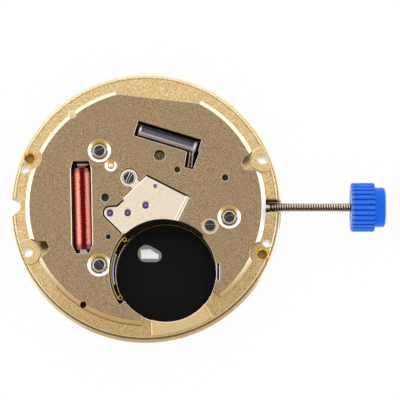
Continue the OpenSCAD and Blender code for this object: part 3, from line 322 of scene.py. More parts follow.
# Real bead marks are about 0.02 mm; they are drawn at 0.08 mm and up so that they show
gildedBrass = makeFinish(
    # gilt and bead-blasted: warm gold with a fine dull sparkle, bright turned edges whose near-white colour
    # is a painted highlight, and pockets darkened with painted shade
    "gildedBlastedBrass", ("#C39D5E", "#F4DDAB", "#DBBD87"), grain=0.1, patch=3.0, rough=(0.34, 0.5),
    bump=(0.02, 0.6),
    zones={
        # painted shade: the plate is darkened towards the lower right, where less light falls
        "painted shade towards the lower right": zone("#7A5226", 7, 0.36, turn=290, x=(1, 40)),
        # painted shade: the step, the train recess, the coil pocket and the drain hole are darkened where the
        # light does not reach
        "painted shade on the step under the cover's rim": zone("#1E150A", 0.02, r=(9.3, 11.45), z=(0.97, 2.42)),
        "painted shade in the train recess": zone("#140E08", 0.02, r=(-1, 9.3), z=(0.97, 2.6)),
        "painted shade in the coil pocket": zone("#0C0806", 0.02, x=(-7.3, -4.9), y=(-4.9, 4.6), z=(0.5, 2.6)),
        "painted shade in the drain hole": zone("#24190C", 0.03, at=places["drain"], r=(-1, 0.36), z=(2.3, 2.6)),
        "flange": zone("#FBE9BE", 0.02, 0.6, r=(12.74, 13.1), z=(0.95, 1.7)),
        # painted shade in the corner at the foot of the rim
        "painted shade at the foot of the rim": zone("#5E4418", 0.03, r=(12.58, 12.74), z=(1.2, 2.36)),
        "turned line on the rim": zone("#6B4E22", 0.04, 0.75, r=(12.36, 12.45), y=(-2, 14), z=(2.3, 2.6)),
        "insulator's slot": zone("#38325A", 0.02, x=(6.7, 7.25), y=(-7.1, -5.0), z=(0.5, 2.7)),
        # painted shade in the recesses beside the pads
        "painted shade in the right recess": zone("#5E431C", 0.5, 0.8, at=(9.5, 4.55), r=(-1, 0.8), z=(1.5, 5)),
        "painted shade in the left recess": zone("#3E2A10", 0.5, 0.95, at=(-9.6, -3.75), r=(-1, 0.85), z=(1.5, 5)),
        # painted light: the raised top of the block is lightened
        "painted light on the top of the block": zone("#FFEBB8", 0.02, 0.3, r=(-1, 12.6), z=(2.8, 3.0)),
        # painted shade in the channel where the stem lies
        "painted shade in the stem's channel": zone("#5A3C16", 0.12, 0.7, x=(11.4, 13.2), y=(-0.72, 0.78)),
        "block's right end": zone("#D9AC58", 0.03, 0.6, **blockEnd, turn=-59.2, y=(-0.34, 0.02)),
        "block's left end": zone("#D9AC58", 0.03, 0.6, **blockEnd, turn=-87.1, y=(-0.02, 0.3)),
        **paintedLightOnWalls},
    # the edges' nearly white colour is a painted highlight
    edge={"width": 0.14, "corner": 0.8, "colour": "#FDF1D8", "rough": 0.26},
    # painted shade: the flange is darkened at the front, where less light falls
    over={"painted shade on the flange's front": zone("#B07A28", 0.4, 0.6, turn=285, x=(9.5, 16), r=(12.7, 15))})

# The bridge's edges: the corner where each begins, and the way it runs in degrees
bridgeEdges = {"upper": {"at": (4.23, 0.78), "turn": 152.8}, "right": {"at": (4.23, 0.78), "turn": 243},
               "slanted": {"at": (0.11, 2.9), "turn": 224}, "lower": {"at": (-2.26, -2.78), "turn": 135},
               "step": {"at": (-2.73, -0.06), "turn": 42.5}, "heel": {"at": (-3.55, -0.12), "turn": 4}}

coverBrass = makeFinish(
    # fine matte blast in a taupe gold, with light and dark specks and bright cut edges, whose brightness is a
    # painted highlight, duller where they face the front
    "sandblastedNickelBrass", ("#7C6549", "#BCA381", "#9C8467"), grain=0.085, patch=4.0, rough=(0.36, 0.55),
    bump=(0.018, 0.6),
    zones={
        # painted light: the seats round the screw heads are lightened against the shade that falls in them
        **{f"painted light on the seat of screw {letter}": zone("#F0DCB4", 0.02, at=at, r=(-1, 0.84), z=(2.5, 2.72))
           for letter, at in places["coverScrews"].items()},
        # painted shade in the gap round the trimmer
        "painted shade in the gap round the trimmer": zone("#1A140C", 0.02, at=places["trimmer"], r=(0.4, 0.54), z=(2.5, 2.9)),
        # painted light: the upper part of the coil window's walls is painted nearly white
        "painted light on the coil window's walls": zone(
            "#F6EAD2", 0.04, at=places["coil"], turn=1.5, x=(-1.06, 1.06), y=(-3.72, 3.8), z=(2.8, 3.2)),
        "pale line beside the insulator": zone("#DCD6E6", 0.03, 0.8, x=(6.98, 7.13), y=(-7.25, -5.55)),
        "gold strip above screw D": zone(
            "#D8A552", 0.03, **bridgeEdges["slanted"], x=(-0.02, 1.05), y=(-0.15, 0.02)),
        "gold strip below screw D": zone(
            "#CF9A48", 0.03, **bridgeEdges["slanted"], x=(2.15, 3.0), y=(-0.17, 0.02))},
    # the cut edges take a nearly white painted highlight, and gold painted shade where they face the front
    edge={"width": 0.1, "corner": 0.8, "front": "#E8C88E", "colour": "#FFF6E2", "rough": 0.3},
    over={
        # painted shade on the well's wall, which the light does not reach
        "painted shade over the well": zone(
            "#14110E", 0.05, at=places["cellWell"], r=(4.7, 5.28), x=(-4.6, 1.3), y=(3.2, 9)),
        "painted shade right of the well": zone(
            "#14110E", 0.12, at=places["cellWell"], r=(4.7, 5.08), x=(1.2, 3.6), y=(2.5, 9)),
        # painted shade: the lower bevel, facing the front, is dulled
        "lower bevel": zone("#D8C7A6", 0.05, r=(11.22, 11.7), x=(-11, 11), y=(-12, -5.3)),
        "shade under the lower bevel": zone(
            "#7A5626", 0.04, 0.7, r=(11.42, 11.7), x=(-8.5, 0.6), y=(-12, -7))})
bridgeBrass = makeFinish(
    # pale gilt, rubbed satin: smooth and creamy, with gold edges; painted shade in the gaps round it, and
    # painted highlights on its right and slanted edges
    "satinPaleGilt", ("#EBD9C0", "#F7E8D3", "#F0E0C9"), grain=0.1, patch=2.5, patchShare=0.2,
    rough=(0.3, 0.42), bump=(0.006, 0.3),
    zones={
        # painted shade in the gap between the bridge and the cover
        "painted shade in the gap above": zone("#1C1408", 0.02, **bridgeEdges["upper"], x=(0.1, 4.8), y=(-0.02, 0.11)),
        # painted highlight on the right edge
        "painted highlight on the right edge": zone("#FFFAF0", 0.02, **bridgeEdges["right"], x=(0.02, 3), y=(-0.4, 0.05)),
        "gold right edge": zone("#DDB45A", 0.03, **bridgeEdges["right"], x=(0.02, 3), y=(-0.24, -0.12)),
        # painted highlight on the slanted edge
        "painted highlight on the slanted edge": zone("#FFF9EE", 0.03, **bridgeEdges["slanted"], x=(0.06, 3), y=(0, 0.17)),
        # painted shade in the gaps below, round the nose, at the step and at the heel
        "painted shade in the gap below": zone("#1C1408", 0.03, **bridgeEdges["lower"], x=(0.05, 2.4), y=(-0.11, 0.09)),
        "painted shade in the gap round the nose": zone(
            "#1C1408", 0.03, at=places["arbors"]["rotor"], turn=160, x=(0.3, 1), r=(0.53, 0.8)),
        "painted shade in the gap at the step": zone("#1C1408", 0.03, **bridgeEdges["step"], x=(-0.05, 0.86), y=(-0.11, 0.03)),
        "painted shade in the gap at the heel": zone("#1C1408", 0.03, **bridgeEdges["heel"], x=(-0.1, 0.86), y=(-0.11, 0.03))},
    edge={"width": 0.07, "corner": 0.3, "slope": 0.0, "colour": "#8A744E", "rough": 0.3})
wheelBrass = makeFinish(
    # lapped wheel brass: clear reflections, faintly clouded, and pale steel pivots
    "polishedBrass", ("#C9A552", "#E6CB86", "#D8B968"), grain=0.25, patch=1.6, rough=(0.16, 0.3),
    bump=(0.004, 0.3),
    zones={f"{arbor} pivot": zone("#B7AEC2", 0.02, at=places["arbors"][arbor], r=(-1, 0.17))
           for arbor in ("intermediate", "second", "third")})
brightBrass = makeFinish(
    # freshly turned brass: bright yellow edges
    "turnedBrightBrass", ("#DDB251", "#F6D98A", "#E8C36A"), grain=0.16, patch=0.9, rough=(0.14, 0.26),
    bump=(0.006, 0.3))
darkSteel = makeFinish(
    # hardened screw steel with a dark polish, nearly black with a violet cast; its edges and slot chamfers
    # take a nearly white painted highlight
    "blackPolishedSteel", ("#33313A", "#4A4752", "#3C3A42"), grain=0.12, patch=0.6, rough=(0.16, 0.26),
    bump=(0.003, 0.3), edge={"width": 0.03, "corner": 0.25, "colour": "#F2EEF6", "rough": 0.14})
stemSteel = makeFinish(
    # oiled stem steel: grey-brown, bright on the crests of its thread, with painted shade in the thread's
    # grooves
    "oiledStemSteel", ("#DCCFC5", "#FFF4EA", "#EADED3"), grain=0.1, patch=0.8, rough=(0.2, 0.32),
    bump=(0.004, 0.3),
    zones={
        # painted shade in the grooves of the thread
        "painted shade in the thread's grooves": zone("#6B5A51", 0.04, lying=places["stemHigh"], r=(-1, 0.4), x=(11.9, 20.8)),
        "shaded side": zone("#54463F", 0.15, 0.6, y=(-0.7, -0.05))})
satinSteel = makeFinish(
    # ground steel: fine grey streaks along X
    "groundSteel", ("#9C9CA6", "#CACAD2", "#B8B8C0"), grain=0.12, patch=1.2, stretch=(4, 1, 1),
    rough=(0.24, 0.38), bump=(0.006, 0.4))
brightSteel = makeFinish(
    # nickel-plated contact: its pad nearly white, its blade a duller grey
    "brightNickel", ("#FBFBFD", "#FFFFFF", "#FDFDFF"), grain=0.5, patch=1.0, metallic=0.1, rough=(0.4, 0.5),
    bump=(0.001, 0.1), zones={"blade": zone("#58565F", 0.006, z=(0.5, 0.745))})
softIron = makeFinish(
    # annealed magnetic iron: dull grey with faint brown patches
    "annealedIron", ("#3A3A40", "#55555C", "#464344"), grain=0.15, patch=1.0, rough=(0.34, 0.48),
    bump=(0.008, 0.4))
springGold = makeFinish(
    # rolled and gilded strip: smooth gold, streaked along its height
    "gildedSpringStrip", ("#9A7A38", "#C9A860", "#84683A"), grain=0.2, patch=0.8, stretch=(1, 1, 3),
    rough=(0.18, 0.3), bump=(0.005, 0.4))
trimmerBrass = makeFinish(
    # tarnished adjusting screw: olive brown, unevenly dull
    "tarnishedTrimmer", ("#5B4C2C", "#8D7A4E", "#6F5E3A"), grain=0.14, patch=0.5, rough=(0.28, 0.42),
    bump=(0.006, 0.4))
leadSteel = makeFinish(
    # tinned wire: soft grey-brown shine
    "tinnedLead", ("#8E8274", "#C4B8AA", "#A2968A"), grain=0.12, patch=0.5, rough=(0.22, 0.36),
    bump=(0.006, 0.4))
magnetFerrite = makeFinish(
    # sintered magnet: dark grey and grainy
    "sinteredMagnet", ("#3F3F45", "#6A6A72", "#55555C"), grain=0.08, patch=0.4, rough=(0.4, 0.6),
    bump=(0.012, 0.6))
keeperSteel = makeFinish(
    # brushed sheet: pale, with long fine lines along X
    "brushedKeeperSteel", ("#BDB6AA", "#E0DBD0", "#CFC9BD"), grain=0.12, patch=3.0, stretch=(25, 1, 1),
    rough=(0.26, 0.4), bump=(0.006, 0.5))
boardEpoxy = makeFinish(
    # glass-epoxy laminate: olive brown, faintly mottled
    "glassEpoxyBoard", ("#2B2718", "#473D20", "#352D1A"), grain=0.18, patch=0.9, metallic=0.0,
    rough=(0.4, 0.6), bump=(0.01, 0.5), sockets={"IOR": 1.55})
padTin = makeFinish(
    # tinned terminal pads at the coil's ends: pale grey green, dull
    "tinnedTerminalPad", ("#B4B6A8", "#E0E0D4", "#CACBBE"), grain=0.14, patch=0.6, metallic=0.6,
    rough=(0.34, 0.48), bump=(0.006, 0.4),
    zones={
        "lacquer from the last turns": zone("#7A2018", 0.03, 0.9, y=(3, 4.0)),
        "upper shade": zone("#15100C", 0.03, y=(4.17, 4.8)),
        "lower left shade": zone("#15100C", 0.03, x=(-7.2, -6.25), y=(-5, -3.6))})
blackPlastic = makeFinish(
    # matte black film: deep black with a soft grain
    "mattePolyester", ("#080708", "#100E10", "#0C0A0C"), grain=0.12, patch=1.5, metallic=0.0,
    rough=(0.4, 0.55), bump=(0.004, 0.4), sockets={"Specular IOR Level": 0.08})
printedWhite = makeFinish(
    # white lacquer on brass: smooth and slightly warm
    "lacqueredWhite", ("#EAEAE4", "#F7F7F3", "#F2F2EE"), grain=0.2, patch=3.0, metallic=0.0,
    rough=(0.3, 0.42), bump=(0.003, 0.3))
numeralInk = makeFinish(
    # pad-printed black ink: matte and even
    "padPrintedInk", ("#121214", "#26262A", "#1A1A1D"), grain=0.1, patch=0.8, metallic=0.0,
    rough=(0.5, 0.65), bump=(0.002, 0.3))
crownRim = {"lying": places["stemHigh"], "x": (19.7, 21.85)}
crownPlastic = makeFinish(
    # moulded blue plastic: saturated, with a soft gloss; painted shade in its flutes, and painted highlights
    # on its crests, faces, edges and upper half
    "mouldedBluePolymer", ("#045BD9", "#0B6CF0", "#0863E4"), grain=0.3, patch=2.0, metallic=0.0,
    rough=(0.28, 0.38), bump=(0.004, 0.2), sockets={"IOR": 1.49, "Specular IOR Level": 0.2},
    zones={
        # painted shade in the grooves of the flutes
        "flutes": zone("#0549BE", 0.04, 0.75, **crownRim, r=(1.95, 2.25)),
        # painted highlight on the crests
        "crests": zone("#3F86F5", 0.03, 0.35, **crownRim, r=(2.31, 2.45)),
        # painted highlights on the inner face and the button's end
        "painted highlight on the inner face": zone("#6FA5FA", 0.06, 0.5, x=(19.5, 19.86)),
        "painted highlight on the button's end": zone("#5F97F5", 0.07, 0.5, x=(22.78, 23.1)),
        # painted sheen: the upper half is lightened as if lit from above
        "painted sheen on the upper half": zone("#4F93FA", 1.2, 0.22, y=(0.9, 6))},
    # the edges take a light blue painted highlight
    edge={"width": 0.07, "corner": 0.6, "slope": 0.0, "colour": "#5C98F8", "rough": 0.3})
rubyViolet = makeFinish(
    # synthetic corundum: violet with a sharp small highlight
    "polishedRuby", ("#2A0E52", "#4B1F86", "#3B1670"), grain=0.3, patch=0.4, metallic=0.0,
    rough=(0.05, 0.1), bump=(0.002, 0.2), sockets={"IOR": 1.77, "Coat Weight": 0.1})
blueCorundum = makeFinish(
    # blue corundum: bright blue with a sharp highlight
    "polishedBlueCorundum", ("#3350A6", "#5C78CE", "#4B63B8"), grain=0.3, patch=0.4, metallic=0.0,
    rough=(0.05, 0.1), bump=(0.002, 0.2), sockets={"IOR": 1.77, "Coat Weight": 0.4})


# The share of the way across a piece, from one edge to the other, made to wander by the grain
def shareAcross(tree, distance, grain, wander, edges):
    stray = addNode(tree, "Math", {"operation": "MULTIPLY_ADD", 1: wander * mm, 2: -wander / 2 * mm},
                    {0: grain})
    across = addNode(tree, "Math", {"operation": "ADD"}, {0: distance, 1: stray})
    return addNode(tree, "MapRange", readFrom(*(v * mm for v in edges)), {"Value": across})


# Enamelled copper wire, with painted highlights and shade: salmon flanks, and a maroon crown of painted shade
# along the top, where reflections would fall.
# A weak glow, painted light, brightens it though it is no lamp
def makeWireEnamel(coil):
    material, tree = emptyMaterial("enamelledCopperWire")
    place = addNode(tree, "TexCoord")
    along = ownSpace(tree, place, coil["at"], coil["tilt"])
    axes = addNode(tree, "SeparateXYZ", {}, {"Vector": along})
    side = addNode(tree, "Math", {"operation": "ADD", 1: coil["streakAt"] * mm}, {0: axes.outputs["X"]})
    far = addNode(tree, "Math", {"operation": "ABSOLUTE"}, {0: side})
    grain = addNode(tree, "TexNoise", {"Scale": 1 / (coil["grain"] * mm), "Detail": noise["grainDetail"]},
                    {"Vector": place.outputs["Object"]})
    bands = bandsAcross(tree, shareAcross(tree, far, grain, coil["wander"], (0, coil["r"])), coil["bands"])
    # painted shade darkens the grooves between the turns; the winding is flatter than round
    height = addNode(tree, "Math", {"operation": "DIVIDE", 1: coil["flat"]}, {0: axes.outputs["Z"]})
    section = addNode(tree, "CombineXYZ", {}, {"X": axes.outputs["X"], "Y": height})
    reach = addNode(tree, "VectorMath", {"operation": "LENGTH"}, {0: section})
    deep, shallow = coil["groove"]
    crest = addNode(tree, "MapRange", {
        **readFrom((coil["r"] - deep) * mm, (coil["r"] - shallow) * mm), "To Min": coil["grooveShadeShare"],
        "To Max": 0.0}, {"Value": reach.outputs["Value"]})
    colour = addNode(tree, "Mix", {"data_type": "RGBA", 7: linear(coil["grooveShadeColour"])},
                     {0: crest, 6: bands})
    shader = closeMaterial(tree, colour, *roughAndBump(tree, grain, coil, noise["plain"]), {
        "Metallic": 0.1, "Specular IOR Level": 0.05, "Emission Strength": coil["glow"]})
    tree.links.new(colour.outputs[2], shader.inputs["Emission Color"])
    return material


# Drawn and tinned can: slate, with painted highlights: a bright band along its lower side, and bright ends
def makeCanTin(crystal):
    material, tree = emptyMaterial("drawnTinnedCan")
    place = addNode(tree, "TexCoord")
    along = ownSpace(tree, place, (*crystal["at"], crystal["z"]), crystal["turn"])
    drawn = addNode(tree, "Mapping", {"Scale": (crystal["drawn"], 1, 1)}, {"Vector": along})
    grain = addNode(tree, "TexNoise", {"Scale": 1 / (crystal["grain"] * mm), "Detail": noise["grainDetail"]},
                    {"Vector": drawn})
    axes = addNode(tree, "SeparateXYZ", {}, {"Vector": along})
    bands = bandsAcross(tree, shareAcross(tree, axes.outputs["Y"], grain, crystal["wander"],
                                          (-crystal["r"], crystal["r"])), crystal["bands"])
    middle = addNode(tree, "Math", {"operation": "ADD", 1: -crystal["middle"] * mm}, {0: axes.outputs["X"]})
    reach = addNode(tree, "Math", {"operation": "ABSOLUTE"}, {0: middle})
    capStart = crystal["long"] / 2 - crystal["cap"]
    ends = addNode(tree, "MapRange", readFrom(capStart * mm, (capStart + crystal["capSoft"]) * mm),
                   {"Value": reach})
    colour = addNode(tree, "Mix", {"data_type": "RGBA", 7: linear(crystal["capHighlightColour"])}, {0: ends, 6: bands})
    closeMaterial(tree, colour, *roughAndBump(tree, grain, crystal, noise["plain"]), {"Metallic": 0.35})
    return material


print("materials ready")

# Frame nodes that keep their own mesh
keptNodes = {
    gildedBrass: ["main_plate"], coverBrass: ["cover_plate"], bridgeBrass: ["train_bridge"],
    padTin: ["coil_core", "coil_terminals"], softIron: ["stator"], boardEpoxy: ["circuit_board"],
    blackPlastic: ["circuit_chip", "well_insulator"], brightSteel: ["minus_contact"],
    springGold: ["plus_contact"], magnetFerrite: ["rotor_magnet"], printedWhite: ["date_ring"],
    keeperSteel: ["date_keeper"],
    wheelBrass: ["intermediate_wheel", "second_wheel", "third_wheel", "centre_wheel", "minute_wheel",
                 "hour_wheel", "date_idler", "date_wheel"],
    satinSteel: ["contact_spring", "rotor_pinion", "cannon_pinion", "setting_wheel", "date_jumper",
                 "corrector", "clutch_pinion", "setting_lever", "yoke", "lever_spring"]}
for material, nodeNames in keptNodes.items():
    for nodeName in nodeNames:
        node = nodes[nodeName]
        if not node.material_slots:
            node.data.materials.append(material)
        for materialSlot in node.material_slots:
            materialSlot.material = material

# Screws: a slightly domed head with a slot, chamfered on the sides that catch the light
screw = {"headR": 0.53, "headHigh": 0.3, "shankR": 0.25, "foot": 1.25, "footBevel": 0.05, "round": 0.02,
         "slotWide": 0.16, "slotDeep": 0.13, "cutterHigh": 0.4, "chamfer": 0.05, "chamferFall": 0.2,
         "dome": 0.02, "domeSteps": ((0.0, 1.0), (0.1, 0.6), (0.2, 0.3), (0.34, 0.08)), "crownR": 0.08,
         "coverSeat": 2.65,
         "coverTurns": {"A": 20, "B": -55, "C": 15, "E": 0},
         "bridge": {"at": (-1.59, 2.64), "seat": 2.75, "turn": 64}}


def makeScrew(name, at, seat, turn, sides):
    r, dome, bevel, edge = screw["headR"], screw["dome"], screw["footBevel"], screw["round"]
    shank, foot, top = screw["shankR"], screw["foot"], seat + screw["headHigh"]
    profile = [(shank - bevel, foot), (shank, foot + bevel), (shank, seat), (r - edge, seat),
               (r, seat + edge), (r, top - dome - edge)]
    profile += [(r - max(inset, edge), top - dome * fall) for inset, fall in screw["domeSteps"]]
    piece = turnOnLathe(name, profile + [(screw["crownR"], top)], 64)
    long, wide, tall = 3 * r, screw["slotWide"], screw["cutterHigh"]
    cutAway(piece, blockOf((long, wide, tall), (0, 0, top - screw["slotDeep"] + tall / 2), turn))
    lean = screw["chamfer"] * math.sqrt(2)
    for side in sides:
        x, y = polar(side * wide / 2, turn + 90)
        wedge = blockOf((long, lean, lean))
        applyPlace(wedge, turn=(45, 0, 0))
        applyPlace(wedge, (x, y, top - dome * screw["chamferFall"]), (0, 0, turn))
        cutAway(piece, wedge)
    return applyPlace(piece, (*at, 0))


for letter, turn in screw["coverTurns"].items():
    piece = makeScrew("coverScrew" + letter, places["coverScrews"][letter], screw["coverSeat"], turn, (1,))
    mountPiece(piece, darkSteel, "cover_screws")
bridgeScrew = screw["bridge"]
piece = makeScrew("bridgeScrew", bridgeScrew["at"], bridgeScrew["seat"], bridgeScrew["turn"], (-1, 1))
mountPiece(piece, darkSteel, "bridge_screw")

keeperScrew = {"r": 0.2, "low": 0.02, "high": 0.75, "headHigh": 0.3, "slotWide": 0.08, "slotDeep": 0.05,
               "ring": 8.4, "angles": (92, 200, 37)}


def makeKeeperScrew(name, angle):
    r, low, high = keeperScrew["r"], keeperScrew["low"], keeperScrew["high"]
    piece = turnOnLathe(name, [
        (r - 0.05, low), (r - 0.015, low + 0.01), (r, low + 0.04), (r, low + keeperScrew["headHigh"]),
        (r - 0.03, high - 0.03), (r - 0.06, high)], 32)
    # each slot stands at a turn of its own
    cutAway(piece, blockOf((1, keeperScrew["slotWide"], 2 * keeperScrew["slotDeep"]), (0, 0, low), angle * 2))
    return applyPlace(piece, (*polar(keeperScrew["ring"], angle), 0))


for index, angle in enumerate(keeperScrew["angles"]):
    piece = makeKeeperScrew(f"keeperScrew{index + 1}", angle)
    mountPiece(piece, darkSteel, "keeper_screws")
print("screws made")

# Jewels: pierced, with an oil cup on the outer face
jewel = {"thick": 0.25, "hole": 0.05, "bevel": 0.03, "cupShare": 0.55, "cupDeep": 0.1,
         "r": 0.33, "smallR": 0.2, "bridgeLow": 2.54, "plateLow": 1.05}


def makeJewel(name, r, at, low, cupUp):
    thick, hole, bevel = jewel["thick"], jewel["hole"], jewel["bevel"]
    cupFloor = thick - jewel["cupDeep"]
    profile = [(hole, 0), (r - bevel, 0), (r, bevel), (r, thick - bevel), (r - bevel, thick),
               (r * jewel["cupShare"], thick), (hole + bevel, cupFloor + 0.01), (hole, cupFloor)]
    piece = turnOnLathe(name, profile, bored=True)
    if not cupUp:
        applyPlace(piece, (0, 0, thick), (180, 0, 0))
    return applyPlace(piece, (*at, low))


for arbor, at in places["arbors"].items():
    small = arbor == "third"
    r = jewel["smallR"] if small else jewel["r"]
    piece = makeJewel(arbor + "BridgeJewel", r, at, jewel["bridgeLow"], True)
    if small:
        mountPiece(piece, blueCorundum, "third_jewel")
    else:
        mountPiece(piece, rubyViolet, "train_jewels")
    if arbor != "second":
        piece = makeJewel(arbor + "PlateJewel", r, at, jewel["plateLow"], False)
        mountPiece(piece, rubyViolet, "plate_jewels")

# Bushes for the casing screws, with a tapped bore
bush = {"r": 0.65, "bore": 0.43, "low": 1.0, "high": 2.5, "bevel": 0.05, "mouth": 0.08, "ring": 12.06,
        "angle": -22.6, "threads": 6, "pitch": 0.2, "threadDeep": 0.06, "firstThread": 0.12}


def makeBush(name, angle):
    r, bore, high, bevel = bush["r"], bush["bore"], bush["high"], bush["bevel"]
    profile = [(bore, bush["low"]), (r, bush["low"]), (r, high - bevel), (r - bevel, high),
               (bore + bush["mouth"], high)]
    for turn in range(bush["threads"]):
        z = high - bush["firstThread"] - turn * bush["pitch"]
        profile += [(bore, z), (bore + bush["threadDeep"], z - bush["pitch"] / 2)]
    piece = turnOnLathe(name, profile, bored=True)
    return applyPlace(piece, (*polar(bush["ring"], angle), 0))


for index in range(2):
    piece = makeBush(f"caseBush{index + 1}", bush["angle"] + 180 * index)
    mountPiece(piece, brightBrass, "case_bushes")

# Locating pins: F in a collar beside the coil, M with a wide head on the rim
pin = {"r": 0.25, "low": 1.65, "bevel": 0.03, "F": {"at": (-3.33, 3.84), "top": 2.85},
       "M": {"at": (-7.05, 8.78), "top": 2.955, "headR": 0.41, "headLow": 2.5, "headBevel": 0.04},
       "collar": {"r": 0.595, "low": 2.705, "high": 2.945, "clear": 0.03}}


def makePins():
    r, low, bevel = pin["r"], pin["low"], pin["bevel"]
    slim, wide, ring = pin["F"], pin["M"], pin["collar"]
    foot = [(r - bevel, low), (r, low + bevel)]
    top = slim["top"]
    pinF = turnOnLathe("locatingPinF", foot + [
        (r, top - 0.1), (r - bevel, top - 0.05), (r - 0.09, top - 0.015), (0.06, top)], 40)
    bore, rim, base, high = r + ring["clear"], ring["r"], ring["low"], ring["high"]
    collar = turnOnLathe("pinCollar", [
        (bore, base), (rim, base), (rim, high - 0.01), (rim - 0.02, high), (rim - 0.05, high),
        (bore + 0.04, base + 0.04), (bore, base + 0.03)], bored=True)
    top, head, headLow, headBevel = wide["top"], wide["headR"], wide["headLow"], wide["headBevel"]
    pinM = turnOnLathe("locatingPinM", foot + [
        (r, headLow), (head, headLow), (head, top - headBevel), (head - headBevel, top), (0.1, top)], 40)
    for piece, at in ((pinF, slim["at"]), (collar, slim["at"]), (pinM, wide["at"])):
        applyPlace(piece, (*at, 0))
    return pinF, collar, pinM


for piece, material in zip(makePins(), (bridgeBrass, coverBrass, gildedBrass)):
    mountPiece(piece, material, "locating_pins")
print("jewels, bushes and pins made")

# Coil winding: a core drum under one helical ridge of lacquered wire. Its bands of colour, painted highlights
# and painted shade, run from the middle out to the sides. Real wire is about 0.02 mm; it is drawn at 0.2 mm
# so that its turns show
coil = {"at": (*places["coil"], 1.7), "tilt": 2.0, "long": 7.85, "r": 0.83, "wireR": 0.1, "pitch": 0.2,
        "flat": 0.85, "sinkFrom": (0.5, 0.36, 0.22, 0.1), "sink": 0.955,
        "streakAt": -0.12, "grain": 0.2, "wander": 0.2, "rough": (0.3, 0.44), "bump": (0.01, 0.3),
        # the glow is painted light, and the groove colour painted shade
        "glow": 0.4, "groove": (0.09, 0.02), "grooveShadeShare": 0.6, "grooveShadeColour": "#5A0E10",
        "bands": [(0.12, "#52060E"), (0.24, "#6A1014"), (0.42, "#FF9C86"), (0.58, "#FFC6B4"),
                  (0.74, "#FA8C77"), (0.88, "#A23A2E"), (0.98, "#6E1C18")]}


def makeWinding():
    half = coil["long"] / 2
    drumR = coil["r"] - coil["wireR"]
    winding = turnOnLathe("coilWinding", [
        (drumR - 0.1, -half), (drumR - 0.02, -half), (drumR, -half + 0.03),
        (drumR, half - 0.03), (drumR - 0.02, half), (drumR - 0.1, half)])
    turns = int((coil["long"] - 2 * coil["wireR"]) / coil["pitch"])
    wire = windRidge(8, coil["wireR"], drumR, -half + coil["wireR"], coil["pitch"], turns, 28)
    joinPieces(winding, [wire])
    # the last turns sink in a little towards the bobbin
    for reach in coil["sinkFrom"]:
        for vertex in winding.data.vertices:
            if abs(vertex.co.z) > (half - reach) * mm:
                vertex.co.x *= coil["sink"]
                vertex.co.y *= coil["sink"]
    winding.scale = (1, coil["flat"], 1)
    return applyPlace(winding, coil["at"], (90, 0, coil["tilt"]))


mountPiece(makeWinding(), makeWireEnamel(coil), "coil_winding")
print("coil wound")

# Crystal: a drawn can with a crimp near its open end, and two leads bent down to the circuit
crystal = {"at": (2.1, 6.55), "z": 2.0, "turn": -17, "start": -2.925, "long": 5.8, "r": 0.6, "crimp": 0.03,
           "middle": -0.025, "cap": 0.3, "capSoft": 0.1, "capHighlightColour": "#E4E2E8",
           "grain": 0.12, "drawn": 0.06, "wander": 0.16, "rough": (0.16, 0.3), "bump": (0.004, 0.3),
           # painted highlights and shade across the can
           "bands": [(0.02, "#4A3B30"), (0.1, "#8A7E80"), (0.16, "#E6DEE2"), (0.22, "#8E868C"),
                     (0.3, "#DAD2DA"), (0.38, "#6A6570"), (0.55, "#524F5B"), (0.86, "#4A4753"),
                     (0.93, "#A09CA8"), (0.99, "#3A3842")],
           "leadR": 0.14, "leadHalfGap": 0.15, "leadFrom": (-0.45, -0.2), "leadBend": (4.43, 5.5),
           "leadFoot": (4.21, 3.78), "leadDip": 0.1}


# A place along the can and beside its axis
def crystalPoint(along, side):
    x, y = polar(1, crystal["turn"])
    return crystal["at"][0] + along * x - side * y, crystal["at"][1] + along * y + side * x


def makeCan():
    r, long, waist = crystal["r"], crystal["long"], crystal["r"] - crystal["crimp"]
    can = turnOnLathe("crystalCan", [
        (r - 0.3, 0), (r - 0.16, 0.01), (r - 0.06, 0.06), (r - 0.01, 0.16), (r, 0.28), (r, long - 0.62),
        (waist, long - 0.58), (waist, long - 0.5), (r, long - 0.46), (r, long - 0.08),
        (r - 0.04, long - 0.02), (r - 0.1, long), (r - 0.12, long - 0.05), (r - 0.4, long - 0.05)], 56)
    return applyPlace(can, (*crystalPoint(crystal["start"], 0), crystal["z"]), (0, 90, crystal["turn"]))


def bendWire(name, points, radius):
    bpy.ops.curve.primitive_nurbs_path_add()
    wire = bpy.context.object
    wire.name = name
    spline = wire.data.splines[0]
    for index, knot in enumerate(spline.points):
        point = points[min(index, len(points) - 1)]
        knot.co = (*(v * mm for v in point), 1)
    spline.order_u = 3
    spline.use_endpoint_u = True
    spline.resolution_u = 6
    wire.data.bevel_depth = radius * mm
    wire.data.bevel_resolution = 3
    wire.data.use_fill_caps = True
    bpy.ops.object.convert(target="MESH")
    return bpy.context.object


def makeLead(name, side):
    z = crystal["z"]
    along, beside = crystal["leadFrom"]
    start = crystalPoint(crystal["start"] + crystal["long"] + along, beside)
    shift = crystal["leadHalfGap"] * side
    bend, foot = [(x + shift, y) for x, y in (crystal["leadBend"], crystal["leadFoot"])]
    between = ((bend[0] + foot[0]) / 2, (bend[1] + foot[1]) / 2)
    return bendWire(name, [(*start, z), (*bend, z - crystal["leadDip"]), (*between, z), (*foot, z)],
                    crystal["leadR"])


mountPiece(makeCan(), makeCanTin(crystal), "crystal_can")
for index, side in enumerate((-1, 1)):
    piece = makeLead(f"crystalLead{index + 1}", side)
    mountPiece(piece, leadSteel, "crystal_leads")
print("crystal made")

